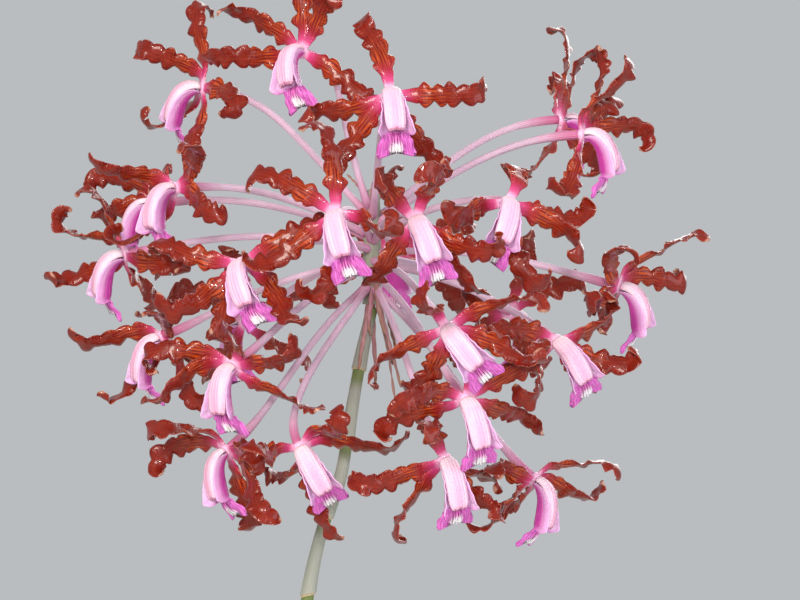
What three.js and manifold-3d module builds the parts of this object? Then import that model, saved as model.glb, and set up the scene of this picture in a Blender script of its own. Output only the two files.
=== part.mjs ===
// A potted Schomburgkia undulata in flower, in millimetres, +Z up.
// The origin is the centre of the pot's base. The viewer of the flower head stands on the -Y side.
import * as THREE from 'three';
import { mergeVertices } from 'three/addons/utils/BufferGeometryUtils.js';
import Module from 'manifold-3d';

const wasm = await Module();
wasm.setup();

// Clearance between pieces that touch
const SEAT_GAP = 0.3;

// Pot, drain holes and potting medium
const POT_HEIGHT = 140;
const POT_TOP_RADIUS = 78;
const POT_BASE_RADIUS = 56;
const POT_WALL = 7;
const POT_FLOOR = 9;
const RIM_HEIGHT = 26;
const RIM_PROUD = 5;
const POT_SIDES = 28;
const DRAIN_COUNT = 3;
const DRAIN_RADIUS = 6;
const DRAIN_RING_RADIUS = 30;
const MEDIUM_LEVEL = 124;
const MEDIUM_SIDES = 16;
const MEDIUM_RINGS = 4;
const CHIP_RELIEF = 3;

// Pseudobulbs: where the stalk stands, height, thickest radius, lean and the leaves that each one carries
const GROWTHS = [
  { x: -45, y: 6, height: 132, radius: 15, lean: [-24, 16], leaves: [[162, 205, 44], [105, 190, 66]] },
  { x: -17, y: -7, height: 156, radius: 17, lean: [-14, -22], leaves: [[212, 225, 44], [288, 200, 70]] },
  { x: 12, y: 5, height: 180, radius: 18, lean: [4, 12], leaves: [[72, 235, 36], [140, 215, 52]] },
  { x: 42, y: -5, height: 142, radius: 15, lean: [26, -16], leaves: [[8, 200, 48], [318, 215, 60]] },
];
const FLOWERING_GROWTH = 2;
const BULB_SIDES = 10;
const BULB_RIB_DEPTH = 0.14;
const BULB_FOOT_RISE = 4;
const BULB_LEVELS = [0, 0.1, 0.3, 0.58, 0.85, 1];
const BULB_SWELL = [0.42, 0.68, 1, 0.97, 0.6, 0.34];
const STALK_SIDES = 6;
const STALK_RADIUS = 6.5;
const STALK_DEPTH = 20;
const STALK_RISE = 10;
const RHIZOME_RADIUS = 6;
const RHIZOME_DEPTH = 5;
const LEAF_FOOT = 5.6;
const LEAF_WIDTH = 42;
const LEAF_FOOT_WIDTH = 8.4;
const LEAF_TIP_WIDTH = 4;
const LEAF_FOLD = 0.22;
const LEAF_THICKNESS = 2.6;
const LEAF_STEPS = 6;
const LEAF_FIRST_TILT = 12;
const LEAF_ARCH = 22;
const COLLAR_HEIGHT = 7;
const COLLAR_RADIUS = 7;

// Flower stalk: its route is given from the hub downwards, then up from the pseudobulb
const HUB = new THREE.Vector3(16, 0, 880);
const SCAPE_ROUTE_BELOW_HUB = [
  [0, 0, -20], [-4, 2, -38], [-8.5, 4, -63], [-12, 6, -84], [-18, 8, -101], [-24, 10, -126],
  [-30, 13, -180], [-33, 16, -260], [-28, 18, -360],
];
const SCAPE_TOP_RADIUS = 2.2;
const SCAPE_FOOT_RADIUS = 3.0;
const SCAPE_SIDES = 6;
const SHEATH_STEP = 0.7;
const SHEATH_COUNT = 14;
const SHEATH_SHORTEST = 25;
const SHEATH_GROWTH = 1.09;
const SHEATH_EDGE = 0.6;

// Umbel: rachis, pedicels and dry bracts
const RACHIS_LENGTH = 44;
const RACHIS_LOW = -19;
const RACHIS_RADIUS = 3.6;
const PEDICEL_RADIUS = 1.35;
const PEDICEL_ROOT = 1.8;
const PEDICEL_ROOT_INSET = 4;
const PEDICEL_OUTWARD = 38;
const PEDICEL_RISE = 9;
const PEDICEL_NECK = 26;
const PEDICEL_STEPS = 6;
const PEDICEL_SIDES = 4;
const HANGING_BRACTS = 8;
const UPRIGHT_BRACTS = 3;
const BRACT_WIDTH = 1.1;
const BRACT_THICKNESS = 0.8;

// Blooms: receptacle, tepals, column and lip
const RECEPTACLE_RADIUS = 2.5;
const RECEPTACLE_THICKNESS = 2.6;
const RECEPTACLE_SIDES = 5;
const TEPAL_ROOT = 1.5;
const TEPAL_LENGTH = 40;
const TEPAL_HALF_WIDTH = 3.7;
const TEPAL_ROOT_HALF_WIDTH = 1.7;
const TEPAL_TIP_HALF_WIDTH = 1.0;
const TEPAL_THICKNESS = 1.25;
const TEPAL_ROLL_BACK = 0.4;
const TEPAL_WAVE = 2.0;
const TEPAL_STATIONS = 40;
const TEPAL_SEGMENTS = 8;
const LEAN_FROM = 0.06;
const LEAN_TO = 0.3;
const TWIST_FROM = 0.15;
const CURL_FROM = 0.55;
const COLUMN_LENGTH = 18.5;
const LIP_LENGTH = 26;
const LIP_HANG = 85;
const LIP_HANG_PER_NOD = -0.6;
const LIP_TURN = 2.5;
const LIP_STATIONS = 52;

// Column and lip sections: distance along the spine, offset of the trough's floor, half spread and offset
// of its rims, half width and offset of the valleys beside the column, and offset of the column's crest.
// Past the column's end the valleys and the crest are the upper face of the lip's middle lobe.
const LIP_SECTIONS = [
  [0, -2.0, 2.8, -0.6, 1.8, 1.2, 2.2],
  [6, -3.1, 4.4, 1.9, 3.1, 1.4, 3.9],
  [12, -3.6, 5.6, 3.5, 3.6, 1.6, 4.2],
  [17.5, -3.4, 6.8, 4.3, 3.0, 1.6, 3.5],
  [18.5, -3.2, 4.6, -1.4, 1.6, -1.9, -2.0],
  [22, -3.3, 6.2, -4.0, 2.4, -2.1, -1.8],
  [25, -4.8, 7.2, -6.6, 2.6, -4.2, -3.4],
];

// How a bloom nods: the angle at the hub's height, its change with each mm of height, and its limits
const NOD_AT_HUB = 12;
const NOD_PER_MM = -0.3;
const NOD_LEAST = -6;
const NOD_MOST = 40;

// How a bloom turns: the share of the way outwards that it faces, the turns back to the viewer that are
// tried, and the roll that is enough. In profile the column swings little with the roll.
const FACE_OUTWARD = 0.85;
const FACE_TRIALS = [0, 10, 20, 30, 40, 50];
const ROLL_ENOUGH = 25;
const LEAST_PROFILE = 0.5;

// Where the tips of the tepals lie: their distance from the bloom's centre, the station of the midline
// that is aimed there, the passes that it takes, and the limits of one pass and of the lean. Five tepals
// stand at regular clock angles where they don't show, and no two are closer than the least gap.
const TIP_REACH = 30;
const TIP_STATION = 36;
const AIM_PASSES = 5;
const AIM_STEP = 45;
const LEAN_MOST = 75;
const REGULAR_CLOCK = [0, 72, 132, 228, 288];
const LEAST_GAP = 34;
const SPREAD_ROUNDS = 8;

// Room that the tepals keep from midlines of other tepals, lips, pedicels and the flower stalk, and the
// changes of angle that are tried to find it
const TEPAL_ROOM = 6.4;
const LIP_ROOM = 10;
const PEDICEL_ROOM = 5.2;
const SCAPE_ROOM = 7;
const LEAN_TRIALS = [0, 18, -18, 36, -36, 54, -54];
const CLOCK_TRIALS = [0, 9, -9, 18, -18];
const SWAY_TRIALS = [0, 25, -25];

// Each bloom as the flower head shows from the front: the place of its receptacle from the hub, how far
// to the right of its root its column ends, and how far to the right of the receptacle and above it the
// tips of its tepals lie. What the other blooms hide is left out.
const BLOOMS = [
  { at: [-64, -5, 63], column: -11, tips: [[0, 27], [11, -11], [0, -27], [-23, -8], [-32, 13]] },
  { at: [-26, -25, 75], column: -3, tips: [[12, 16], [24, -17], [-30, -7], [-24, 14]] },
  { at: [7, -60, 57], column: 2, tips: [[-8, 24], [33, 3], [28, -34], [-21, -27], [-44, -11]] },
  { at: [79, -15, 45], column: 9, tips: [[7, 25], [20, 23], [25, 7], [11, 15], [-12, -18]] },
  { at: [73, 27, 53], column: null, tips: [[-2, 15], [15, 16], [-13, -19]] },
  { at: [-72, -38, 24], column: -6, tips: [[5, 11], [17, -9], [-34, -11], [-43, 4], [-9, 8]] },
  { at: [-84, 14, 20], column: -7, tips: [[-21, -12], [-45, -6], [-25, 8]] },
  { at: [-93, -9, 0], column: -8, tips: [[20, -6], [2, -14], [-28, -8], [-27, 9], [-7, 11]] },
  { at: [-12, -86, 13], column: 3, tips: [[15, -2], [-8, -30], [-33, -17], [-30, 11]] },
  { at: [16, -86, 11], column: 6, tips: [[3, 13], [40, -10], [20, -21], [-15, -20], [-16, 4]] },
  { at: [49, -60, 18], column: -3, tips: [[7, 7], [27, -4], [36, -16], [20, -37], [-15, -15]] },
  { at: [-46, -68, -4], column: 3, tips: [[30, 14], [22, -2], [-10, -24], [-33, -15], [-28, 5]] },
  { at: [93, -6, -12], column: 8, tips: [[2, 8], [29, 18], [24, 4], [-4, -15], [-10, 0]] },
  { at: [-79, -15, -31], column: -6, tips: [[0, 6], [12, -2], [-23, -21], [-41, 8]] },
  { at: [-50, -55, -41], column: -3, tips: [[7, 21], [27, -14], [-31, -13], [-27, 11]] },
  { at: [27, -82, -27], column: 10, tips: [[0, 14], [30, 5], [35, -8], [-13, -20], [-26, -19]] },
  { at: [68, -40, -32], column: 9, tips: [[19, 11], [38, 1], [17, -8], [-14, -17], [-23, -2]] },
  { at: [34, -62, -53], column: 5, tips: [[22, -9], [-30, -14], [-22, -2]] },
  { at: [-54, -25, -73], column: -1, tips: [[13, -7], [14, -17], [6, -27], [-27, -8], [-36, 9]] },
  { at: [-26, -45, -71], column: 8, tips: [[14, 11], [32, 2], [6, -29], [-10, -12], [-20, -6]] },
  { at: [27, -48, -75], column: 4, tips: [[0, 11], [17, -11], [13, -30], [-17, -27], [-29, -13]] },
  { at: [61, -15, -84], column: 2, tips: [[30, 2], [24, -5], [-10, -12], [-13, 4]] },
  { at: [8, 84, 3], column: null, tips: [] },
  { at: [-52, 66, -26], column: null, tips: [] },
  { at: [55, 64, -22], column: null, tips: [] },
];

// Finishes
const terracotta = new THREE.MeshStandardMaterial({ color: 0xb5683f, roughness: 0.9, metalness: 0 });
const bark = new THREE.MeshStandardMaterial({ color: 0x5a3f2b, roughness: 0.95, metalness: 0 });
const bulbGreen = new THREE.MeshStandardMaterial({ color: 0x7f8f4a, roughness: 0.6, metalness: 0 });
const leafGreen = new THREE.MeshStandardMaterial({ color: 0x3f6a2c, roughness: 0.45, metalness: 0 });
const sheathGrey = new THREE.MeshStandardMaterial({ color: 0x8a8676, roughness: 0.7, metalness: 0 });
const pedicelLilac = new THREE.MeshStandardMaterial({ color: 0xd4b2cc, roughness: 0.5, metalness: 0 });
const tepalMaroon = new THREE.MeshStandardMaterial({ color: 0x7f2a1c, roughness: 0.3, metalness: 0 });
const lipPink = new THREE.MeshStandardMaterial({ color: 0xe6a0d6, roughness: 0.5, metalness: 0 });

const radians = THREE.MathUtils.degToRad;
const degrees = THREE.MathUtils.radToDeg;
const clamp = THREE.MathUtils.clamp;
const smooth = THREE.MathUtils.smoothstep;
const modulo = THREE.MathUtils.euclideanModulo;
const vector = (x, y, z) => new THREE.Vector3(x, y, z);

// Random draws from 0 to 1, the same on every run
function seededDraws(seed) {
  let state = seed;
  return () => {
    state = (state * 16807) % 2147483647;
    return state / 2147483647;
  };
}

// Solids and booleans
function welded(geometry) {
  const bare = geometry.clone();
  bare.deleteAttribute('normal');
  bare.deleteAttribute('uv');
  return mergeVertices(bare, 1e-3);
}

function toSolid(geometry) {
  const closed = welded(geometry);
  const vertProperties = new Float32Array(closed.attributes.position.array);
  const triVerts = new Uint32Array(closed.index.array);
  return new wasm.Manifold(new wasm.Mesh({ numProp: 3, vertProperties, triVerts }));
}

function toGeometry(solid) {
  const mesh = solid.getMesh();
  const geometry = new THREE.BufferGeometry();
  geometry.setAttribute('position', new THREE.BufferAttribute(new Float32Array(mesh.vertProperties), 3));
  geometry.setIndex(new THREE.BufferAttribute(new Uint32Array(mesh.triVerts), 1));
  geometry.computeVertexNormals();
  return geometry;
}

function fuse(geometries) {
  let solid = toSolid(geometries[0]);
  for (const geometry of geometries.slice(1)) solid = solid.add(toSolid(geometry));
  return solid;
}

function signedVolume(points, triangles) {
  let volume = 0;
  for (const [a, b, c] of triangles) {
    volume += points[a].dot(vector().crossVectors(points[b], points[c])) / 6;
  }
  return volume;
}

// A closed body through rings of the same even number of points. The first half of a ring is its front
// face and the second half its back face, and both faces are split into triangles alike.
function loft(rings) {
  const count = rings[0].length;
  const half = count / 2;
  const points = rings.flat();
  const triangles = [];
  for (let i = 0; i < rings.length - 1; i++) {
    for (let j = 0; j < count; j++) {
      const a = i * count + j;
      const b = i * count + (j + 1) % count;
      const c = b + count;
      const d = a + count;
      if (j < half) triangles.push([a, b, c], [a, c, d]);
      else triangles.push([a, b, d], [b, c, d]);
    }
  }
  const last = (rings.length - 1) * count;
  const cap = [[0, 1, count - 1], [half - 1, half, half + 1]];
  for (let j = 1; j < half - 1; j++) {
    cap.push([j, j + 1, count - j], [j + 1, count - j - 1, count - j]);
  }
  for (const [a, b, c] of cap) {
    triangles.push([a, c, b], [last + a, last + b, last + c]);
  }
  if (signedVolume(points, triangles) < 0) triangles.forEach((t) => t.reverse());
  const geometry = new THREE.BufferGeometry();
  const positions = points.flatMap((p) => [p.x, p.y, p.z]);
  geometry.setAttribute('position', new THREE.Float32BufferAttribute(positions, 3));
  geometry.setIndex(triangles.flat());
  geometry.computeVertexNormals();
  return geometry;
}

// A ring of points round a centre, between a side axis and a face axis
function ovalRing(centre, side, face, halfWidth, halfThickness, count) {
  return Array.from({ length: count }, (_, j) => {
    const angle = (2 * Math.PI * j) / count;
    return centre.clone()
      .addScaledVector(side, halfWidth * Math.cos(angle))
      .addScaledVector(face, halfThickness * Math.sin(angle));
  });
}

// Pot and medium
function potRadiusAt(z) {
  return POT_BASE_RADIUS + ((POT_TOP_RADIUS - POT_BASE_RADIUS) * z) / POT_HEIGHT;
}

function potGeometry() {
  const inner = (z) => potRadiusAt(z) - POT_WALL;
  const band = POT_HEIGHT - RIM_HEIGHT;
  const profile = [
    [0, 0], [POT_BASE_RADIUS - 2, 0], [POT_BASE_RADIUS, 2], [potRadiusAt(band), band],
    [potRadiusAt(band) + RIM_PROUD, band + 2], [POT_TOP_RADIUS + RIM_PROUD, POT_HEIGHT - 2],
    [POT_TOP_RADIUS + RIM_PROUD - 2, POT_HEIGHT], [POT_TOP_RADIUS - POT_WALL + 2, POT_HEIGHT],
    [inner(POT_HEIGHT), POT_HEIGHT - 2], [inner(POT_FLOOR), POT_FLOOR], [0, POT_FLOOR],
  ].map(([r, z]) => new THREE.Vector2(r, z));
  const body = new THREE.LatheGeometry(profile, POT_SIDES);
  body.rotateX(Math.PI / 2);
  let solid = toSolid(body);
  for (let i = 0; i < DRAIN_COUNT; i++) {
    const angle = radians(90 + (360 * i) / DRAIN_COUNT);
    const drill = new THREE.CylinderGeometry(DRAIN_RADIUS, DRAIN_RADIUS, 4 * POT_FLOOR, 8);
    drill.rotateX(Math.PI / 2);
    drill.translate(DRAIN_RING_RADIUS * Math.cos(angle), DRAIN_RING_RADIUS * Math.sin(angle), 0);
    solid = solid.subtract(toSolid(drill));
  }
  return toGeometry(solid);
}

function mediumGeometry(holes) {
  const draw = seededDraws(77);
  const top = potRadiusAt(MEDIUM_LEVEL) - POT_WALL - SEAT_GAP;
  const foot = potRadiusAt(POT_FLOOR) - POT_WALL - SEAT_GAP;
  const profile = [new THREE.Vector2(0, POT_FLOOR + SEAT_GAP), new THREE.Vector2(foot, POT_FLOOR + SEAT_GAP)];
  for (let i = MEDIUM_RINGS; i >= 0; i--) {
    profile.push(new THREE.Vector2((top * i) / MEDIUM_RINGS, MEDIUM_LEVEL));
  }
  const body = welded(new THREE.LatheGeometry(profile, MEDIUM_SIDES));
  body.rotateX(Math.PI / 2);
  const position = body.attributes.position;
  for (let i = 0; i < position.count; i++) {
    const reach = Math.hypot(position.getX(i), position.getY(i));
    if (position.getZ(i) > MEDIUM_LEVEL - 1 && reach < top - 1) {
      position.setZ(i, MEDIUM_LEVEL + CHIP_RELIEF * (draw() - 0.4));
    }
  }
  let solid = toSolid(body);
  for (const hole of holes) solid = solid.subtract(toSolid(hole));
  const pieces = solid.decompose();
  pieces.sort((a, b) => b.volume() - a.volume());
  return toGeometry(pieces[0]);
}

// Pseudobulbs, rhizome and leaves
function bulbApex(growth) {
  return vector(growth.x + growth.lean[0], growth.y + growth.lean[1], MEDIUM_LEVEL + growth.height);
}

function bulbGeometry(growth) {
  const foot = vector(growth.x, growth.y, MEDIUM_LEVEL + BULB_FOOT_RISE);
  const apex = bulbApex(growth);
  const axis = apex.clone().sub(foot);
  const rings = BULB_LEVELS.map((u, k) => {
    const centre = foot.clone().addScaledVector(axis, u);
    const ribbed = u > 0 && u < 1 ? BULB_RIB_DEPTH : 0;
    return Array.from({ length: BULB_SIDES }, (_, j) => {
      const angle = (2 * Math.PI * j) / BULB_SIDES;
      const radius = growth.radius * BULB_SWELL[k] * (1 - (j % 2) * ribbed);
      return centre.clone().add(vector(radius * Math.cos(angle), radius * Math.sin(angle), 0));
    });
  });
  return loft(rings);
}

function stalkGeometry(growth, extra) {
  const radius = STALK_RADIUS + extra;
  const depth = STALK_DEPTH + extra;
  const geometry = new THREE.CylinderGeometry(radius, radius, depth + STALK_RISE, STALK_SIDES);
  geometry.rotateX(Math.PI / 2);
  geometry.translate(growth.x, growth.y, MEDIUM_LEVEL + (STALK_RISE - depth) / 2);
  return geometry;
}

function rhizomeGeometries(extra) {
  const level = MEDIUM_LEVEL - RHIZOME_DEPTH;
  return GROWTHS.slice(1).map((growth, i) => {
    const from = vector(GROWTHS[i].x, GROWTHS[i].y, level);
    const to = vector(growth.x, growth.y, level);
    const axis = to.clone().sub(from);
    const radius = RHIZOME_RADIUS + extra;
    const geometry = new THREE.CylinderGeometry(radius, radius, axis.length(), STALK_SIDES);
    geometry.applyQuaternion(new THREE.Quaternion().setFromUnitVectors(vector(0, 1, 0), axis.normalize()));
    const middle = from.add(to).multiplyScalar(0.5);
    return geometry.translate(middle.x, middle.y, middle.z);
  });
}

// A leaf is an arched strap with a folded midrib: azimuth, length and lean are in its growth's list
function leafGeometry(apex, azimuth, length, lean) {
  const out = vector(Math.cos(radians(azimuth)), Math.sin(radians(azimuth)), 0);
  const side = vector(-out.y, out.x, 0);
  const up = vector(0, 0, 1);
  const rings = [];
  const centre = apex.clone().add(vector(0, 0, COLLAR_HEIGHT * 0.3)).addScaledVector(out, LEAF_FOOT);
  const step = length / LEAF_STEPS;
  for (let i = 0; i <= LEAF_STEPS; i++) {
    const u = i / LEAF_STEPS;
    const tilt = radians(LEAF_FIRST_TILT + (lean + LEAF_ARCH) * u ** 1.2);
    const along = up.clone().multiplyScalar(Math.cos(tilt)).addScaledVector(out, Math.sin(tilt));
    const face = up.clone().multiplyScalar(Math.sin(tilt)).addScaledVector(out, -Math.cos(tilt));
    const full = smooth(u, 0, 0.45) * (1 - smooth(u, 0.66, 1.02));
    const narrow = (u < 0.5 ? LEAF_FOOT_WIDTH : LEAF_TIP_WIDTH) / 2;
    const halfWidth = narrow + ((LEAF_WIDTH - LEAF_FOOT_WIDTH) / 2) * full;
    const fold = LEAF_FOLD * halfWidth;
    const thickness = LEAF_THICKNESS * (1 - 0.35 * u);
    rings.push([
      centre.clone().addScaledVector(side, -halfWidth).addScaledVector(face, fold),
      centre.clone().addScaledVector(face, thickness / 2),
      centre.clone().addScaledVector(side, halfWidth).addScaledVector(face, fold),
      centre.clone().addScaledVector(face, -thickness / 2),
    ]);
    centre.addScaledVector(along, step);
  }
  return loft(rings);
}

function leafyTopGeometry(growth) {
  const apex = bulbApex(growth);
  const collar = new THREE.CylinderGeometry(COLLAR_RADIUS * 0.7, COLLAR_RADIUS, COLLAR_HEIGHT, 8);
  collar.rotateX(Math.PI / 2);
  collar.translate(apex.x, apex.y, apex.z + SEAT_GAP + COLLAR_HEIGHT / 2);
  const seat = apex.clone().add(vector(0, 0, SEAT_GAP));
  const leaves = growth.leaves.map(([azimuth, length, lean]) => leafGeometry(seat, azimuth, length, lean));
  return toGeometry(fuse([collar, ...leaves]));
}

// Flower stalk with a step at each node where a papery sheath begins
function scapeCurve() {
  const foot = bulbApex(GROWTHS[FLOWERING_GROWTH]).add(vector(0, 0, 2 * SEAT_GAP + COLLAR_HEIGHT));
  const route = SCAPE_ROUTE_BELOW_HUB.map(([x, y, z]) => HUB.clone().add(vector(x, y, z)));
  route.push(foot.clone().add(vector(-6, 4, 110)), foot.clone().add(vector(0, 1, 40)), foot);
  return new THREE.CatmullRomCurve3(route, false, 'centripetal');
}

function scapeGeometry() {
  const curve = scapeCurve();
  const length = curve.getLength();
  const stations = [];
  let at = 0;
  let internode = SHEATH_SHORTEST;
  for (let k = 0; k < SHEATH_COUNT && at + internode < length; k++) {
    stations.push([at, 0], [at + internode - SHEATH_EDGE, SHEATH_STEP]);
    at += internode;
    internode *= SHEATH_GROWTH;
  }
  stations.push([at, 0], [length, 0.4]);
  const rings = stations.map(([distance, extra]) => {
    const u = distance / length;
    const along = curve.getTangentAt(u);
    const side = vector(0, 1, 0).cross(along).normalize();
    const face = along.clone().cross(side).normalize();
    const radius = SCAPE_TOP_RADIUS + (SCAPE_FOOT_RADIUS - SCAPE_TOP_RADIUS) * u + extra;
    return ovalRing(curve.getPointAt(u), side, face, radius, radius, SCAPE_SIDES);
  });
  return loft(rings);
}

// The frame of a bloom: x is the viewer's right, -y the way it faces, z its top
function bloomNod(bloom) {
  return clamp(NOD_AT_HUB + NOD_PER_MM * bloom.at[2], NOD_LEAST, NOD_MOST);
}

// A bloom looks outwards from the hub, and turns from there to the viewer until a small roll swings its
// column to where it shows. One whose column doesn't show looks straight outwards.
function bloomFacing(bloom) {
  const nod = radians(bloomNod(bloom));
  const outward = degrees(Math.atan2(bloom.at[0], -bloom.at[1]));
  if (bloom.column === null) return { face: outward, roll: 0 };
  const spine = lipSpine(bloom);
  const hang = spine(COLUMN_LENGTH).point.clone().sub(spine(0).point);
  const forwards = -hang.y * Math.cos(nod) + hang.z * Math.sin(nod);
  let best = null;
  for (const turned of FACE_TRIALS) {
    const face = FACE_OUTWARD * outward - Math.sign(outward) * turned;
    const swing = bloom.column - forwards * Math.sin(radians(face));
    const lever = -hang.z * Math.max(Math.cos(radians(face)), LEAST_PROFILE);
    const roll = degrees(Math.asin(clamp(swing / lever, -1, 1)));
    if (best === null || Math.abs(roll) < Math.abs(best.roll)) best = { face, roll };
    if (Math.abs(roll) <= ROLL_ENOUGH) break;
  }
  return best;
}

function bloomGroup(bloom) {
  const { face, roll } = bloomFacing(bloom);
  const group = new THREE.Group();
  group.position.set(...bloom.at).add(HUB);
  group.rotation.set(radians(bloomNod(bloom)), radians(-roll), radians(face), 'ZXY');
  group.updateMatrixWorld(true);
  return group;
}

// Clock angle from the top and forward lean of a line from the bloom's centre, in the bloom's frame
function directionOf(line) {
  return {
    clock: degrees(Math.atan2(line.x, line.z)),
    lean: degrees(Math.atan2(-line.y, Math.hypot(line.x, line.z))),
  };
}

// The directions in which a bloom's five tips lie. A tip that shows lies at the usual reach, in front of
// the receptacle or behind it, whichever is nearer to the bloom's own plane.
function tipDirections(bloom, matrix) {
  const toBloom = matrix.clone().invert();
  const found = bloom.tips.map(([x, z]) => {
    const depth = Math.sqrt(Math.max(TIP_REACH ** 2 - x * x - z * z, 0));
    const [behind, before] = [depth, -depth].map((y) => vector(x, y, z).transformDirection(toBloom));
    const { clock, lean } = directionOf(Math.abs(before.y) < Math.abs(behind.y) ? before : behind);
    return { clock: modulo(clock, 360), lean };
  });
  while (found.length < REGULAR_CLOCK.length) {
    const apart = (clock) => found.map((tip) => Math.abs(modulo(clock - tip.clock + 180, 360) - 180));
    const room = REGULAR_CLOCK.map((clock) => Math.min(...apart(clock), 180));
    found.push({ clock: REGULAR_CLOCK[room.indexOf(Math.max(...room))], lean: 0 });
  }
  for (let round = 0; round < SPREAD_ROUNDS; round++) {
    found.sort((a, b) => a.clock - b.clock);
    found.forEach((tip, i) => {
      const next = found[(i + 1) % found.length];
      const lack = Math.max(LEAST_GAP - modulo(next.clock - tip.clock, 360), 0) / 2;
      tip.clock -= lack;
      next.clock += lack;
    });
  }
  return found;
}

// Turns two square vectors towards each other by an angle
function turn(a, b, angle) {
  const c = Math.cos(angle);
  const s = Math.sin(angle);
  const [ax, ay, az] = [a.x, a.y, a.z];
  a.set(c * ax + s * b.x, c * ay + s * b.y, c * az + s * b.z);
  b.set(c * b.x - s * ax, c * b.y - s * ay, c * b.z - s * az);
}

// Midline of a tepal in the bloom's frame. It starts radially in the receptacle, and at each short step
// its frame turns about its side (lean, bend and curl), about its face (sway and hook) and along itself
// (twist). The curl and the hook wind up its outer part.
function tepalMidline(shape) {
  const clock = radians(shape.clock);
  const along = vector(Math.sin(clock), 0, Math.cos(clock));
  const face = vector(0, -1, 0);
  const side = along.clone().cross(face);
  const point = along.clone().multiplyScalar(TEPAL_ROOT);
  const du = 1 / TEPAL_STATIONS;
  const stations = [];
  for (let i = 0; i <= TEPAL_STATIONS; i++) {
    stations.push({ point: point.clone(), face: face.clone(), side: side.clone() });
    const u = (i + 0.5) * du;
    const leaning = u > LEAN_FROM && u < LEAN_TO ? shape.lean / (LEAN_TO - LEAN_FROM) : 0;
    const winding = u > CURL_FROM ? (2 * (u - CURL_FROM)) / (1 - CURL_FROM) ** 2 : 0;
    turn(along, face, radians((leaning + shape.bend + shape.curl * winding) * du));
    turn(along, side, radians((shape.sway + shape.hook * winding) * du));
    turn(face, side, radians(u > TWIST_FROM ? shape.twist * du : 0));
    point.addScaledVector(along, shape.length * du);
  }
  return stations;
}

function tepalHalfWidth(u) {
  const opening = TEPAL_ROOT_HALF_WIDTH + (TEPAL_HALF_WIDTH - TEPAL_ROOT_HALF_WIDTH) * smooth(u, 0, 0.32);
  const closing = smooth(u, 0.86, 1.02);
  return opening + (TEPAL_TIP_HALF_WIDTH - opening) * closing;
}

// The margins are rolled back on the inner half of the blade. They wave once every two segments, the two
// margins together or against each other.
function tepalGeometry(shape) {
  const midline = tepalMidline(shape);
  const rings = [];
  for (let k = 0; k <= TEPAL_SEGMENTS; k++) {
    const u = k / TEPAL_SEGMENTS;
    const { point, face, side } = midline[(k * TEPAL_STATIONS) / TEPAL_SEGMENTS];
    const halfWidth = tepalHalfWidth(u);
    const swing = TEPAL_WAVE * smooth(u, 0.05, 0.32) * (1 - 0.5 * smooth(u, 0.8, 1)) * (k % 2 ? -1 : 1);
    const back = TEPAL_ROLL_BACK * halfWidth * smooth(u, 0.02, 0.2) * (1 - smooth(u, 0.45, 0.95));
    const thickness = TEPAL_THICKNESS * (1 - 0.25 * u);
    rings.push([
      point.clone().addScaledVector(side, -halfWidth).addScaledVector(face, swing - back),
      point.clone().addScaledVector(face, thickness / 2),
      point.clone().addScaledVector(side, halfWidth).addScaledVector(face, swing * shape.rightWave - back),
      point.clone().addScaledVector(face, -thickness / 2),
    ]);
  }
  return loft(rings);
}

// Points on the midline that stand for a tepal when its distance to other pieces is measured
function guardPoints(shape, matrix) {
  const midline = tepalMidline(shape);
  const points = [];
  for (let i = 10; i <= TEPAL_STATIONS; i += 3) {
    points.push(midline[i].point.clone().applyMatrix4(matrix));
  }
  return points;
}

// How far a set of points reaches into the clearance round the guarded points, added up
function crowding(points, guards) {
  let total = 0;
  for (const point of points) {
    for (const guard of guards) {
      const near = guard.reach - point.distanceTo(guard.point);
      if (near > 0) total += near;
    }
  }
  return total;
}

// Corrects the clock angle and the lean at a tepal's root until its tip lies in its direction
function aimTepal(shape, direction) {
  for (let pass = 0; pass < AIM_PASSES; pass++) {
    const tip = directionOf(tepalMidline(shape)[TIP_STATION].point);
    const off = modulo(direction.clock - tip.clock + 180, 360) - 180;
    shape.clock += clamp(off, -AIM_STEP, AIM_STEP);
    shape.lean = clamp(shape.lean + direction.lean - tip.lean, -LEAN_MOST, LEAN_MOST);
  }
}

// The shape of one tepal: drawn, aimed, then bent clear of what is already there. Its lean, clock angle
// and sideways bend are tried from the least change upwards, and the least crowded one is kept.
function settleTepal(direction, draw, matrix, guards) {
  const drawn = {
    clock: direction.clock,
    lean: direction.lean,
    bend: 80 * (draw() - 0.5),
    curl: (draw() < 0.6 ? -1 : 1) * (60 + 130 * draw()),
    sway: 90 * (draw() - 0.5),
    hook: (draw() < 0.5 ? -1 : 1) * (30 + 100 * draw()),
    twist: (draw() < 0.5 ? -1 : 1) * (30 + 100 * draw()),
    length: TEPAL_LENGTH * (0.94 + 0.12 * draw()),
    rightWave: draw() < 0.25 ? -1 : 1,
  };
  aimTepal(drawn, direction);
  let best = drawn;
  let least = Infinity;
  for (const lean of LEAN_TRIALS) {
    for (const clock of CLOCK_TRIALS) {
      for (const sway of SWAY_TRIALS) {
        const trial = { ...drawn };
        trial.lean += lean;
        trial.clock += clock;
        trial.sway += sway;
        const crowd = crowding(guardPoints(trial, matrix), guards);
        if (crowd < least - 1e-6) {
          least = crowd;
          best = trial;
        }
        if (crowd === 0) return trial;
      }
    }
  }
  return best;
}

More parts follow.
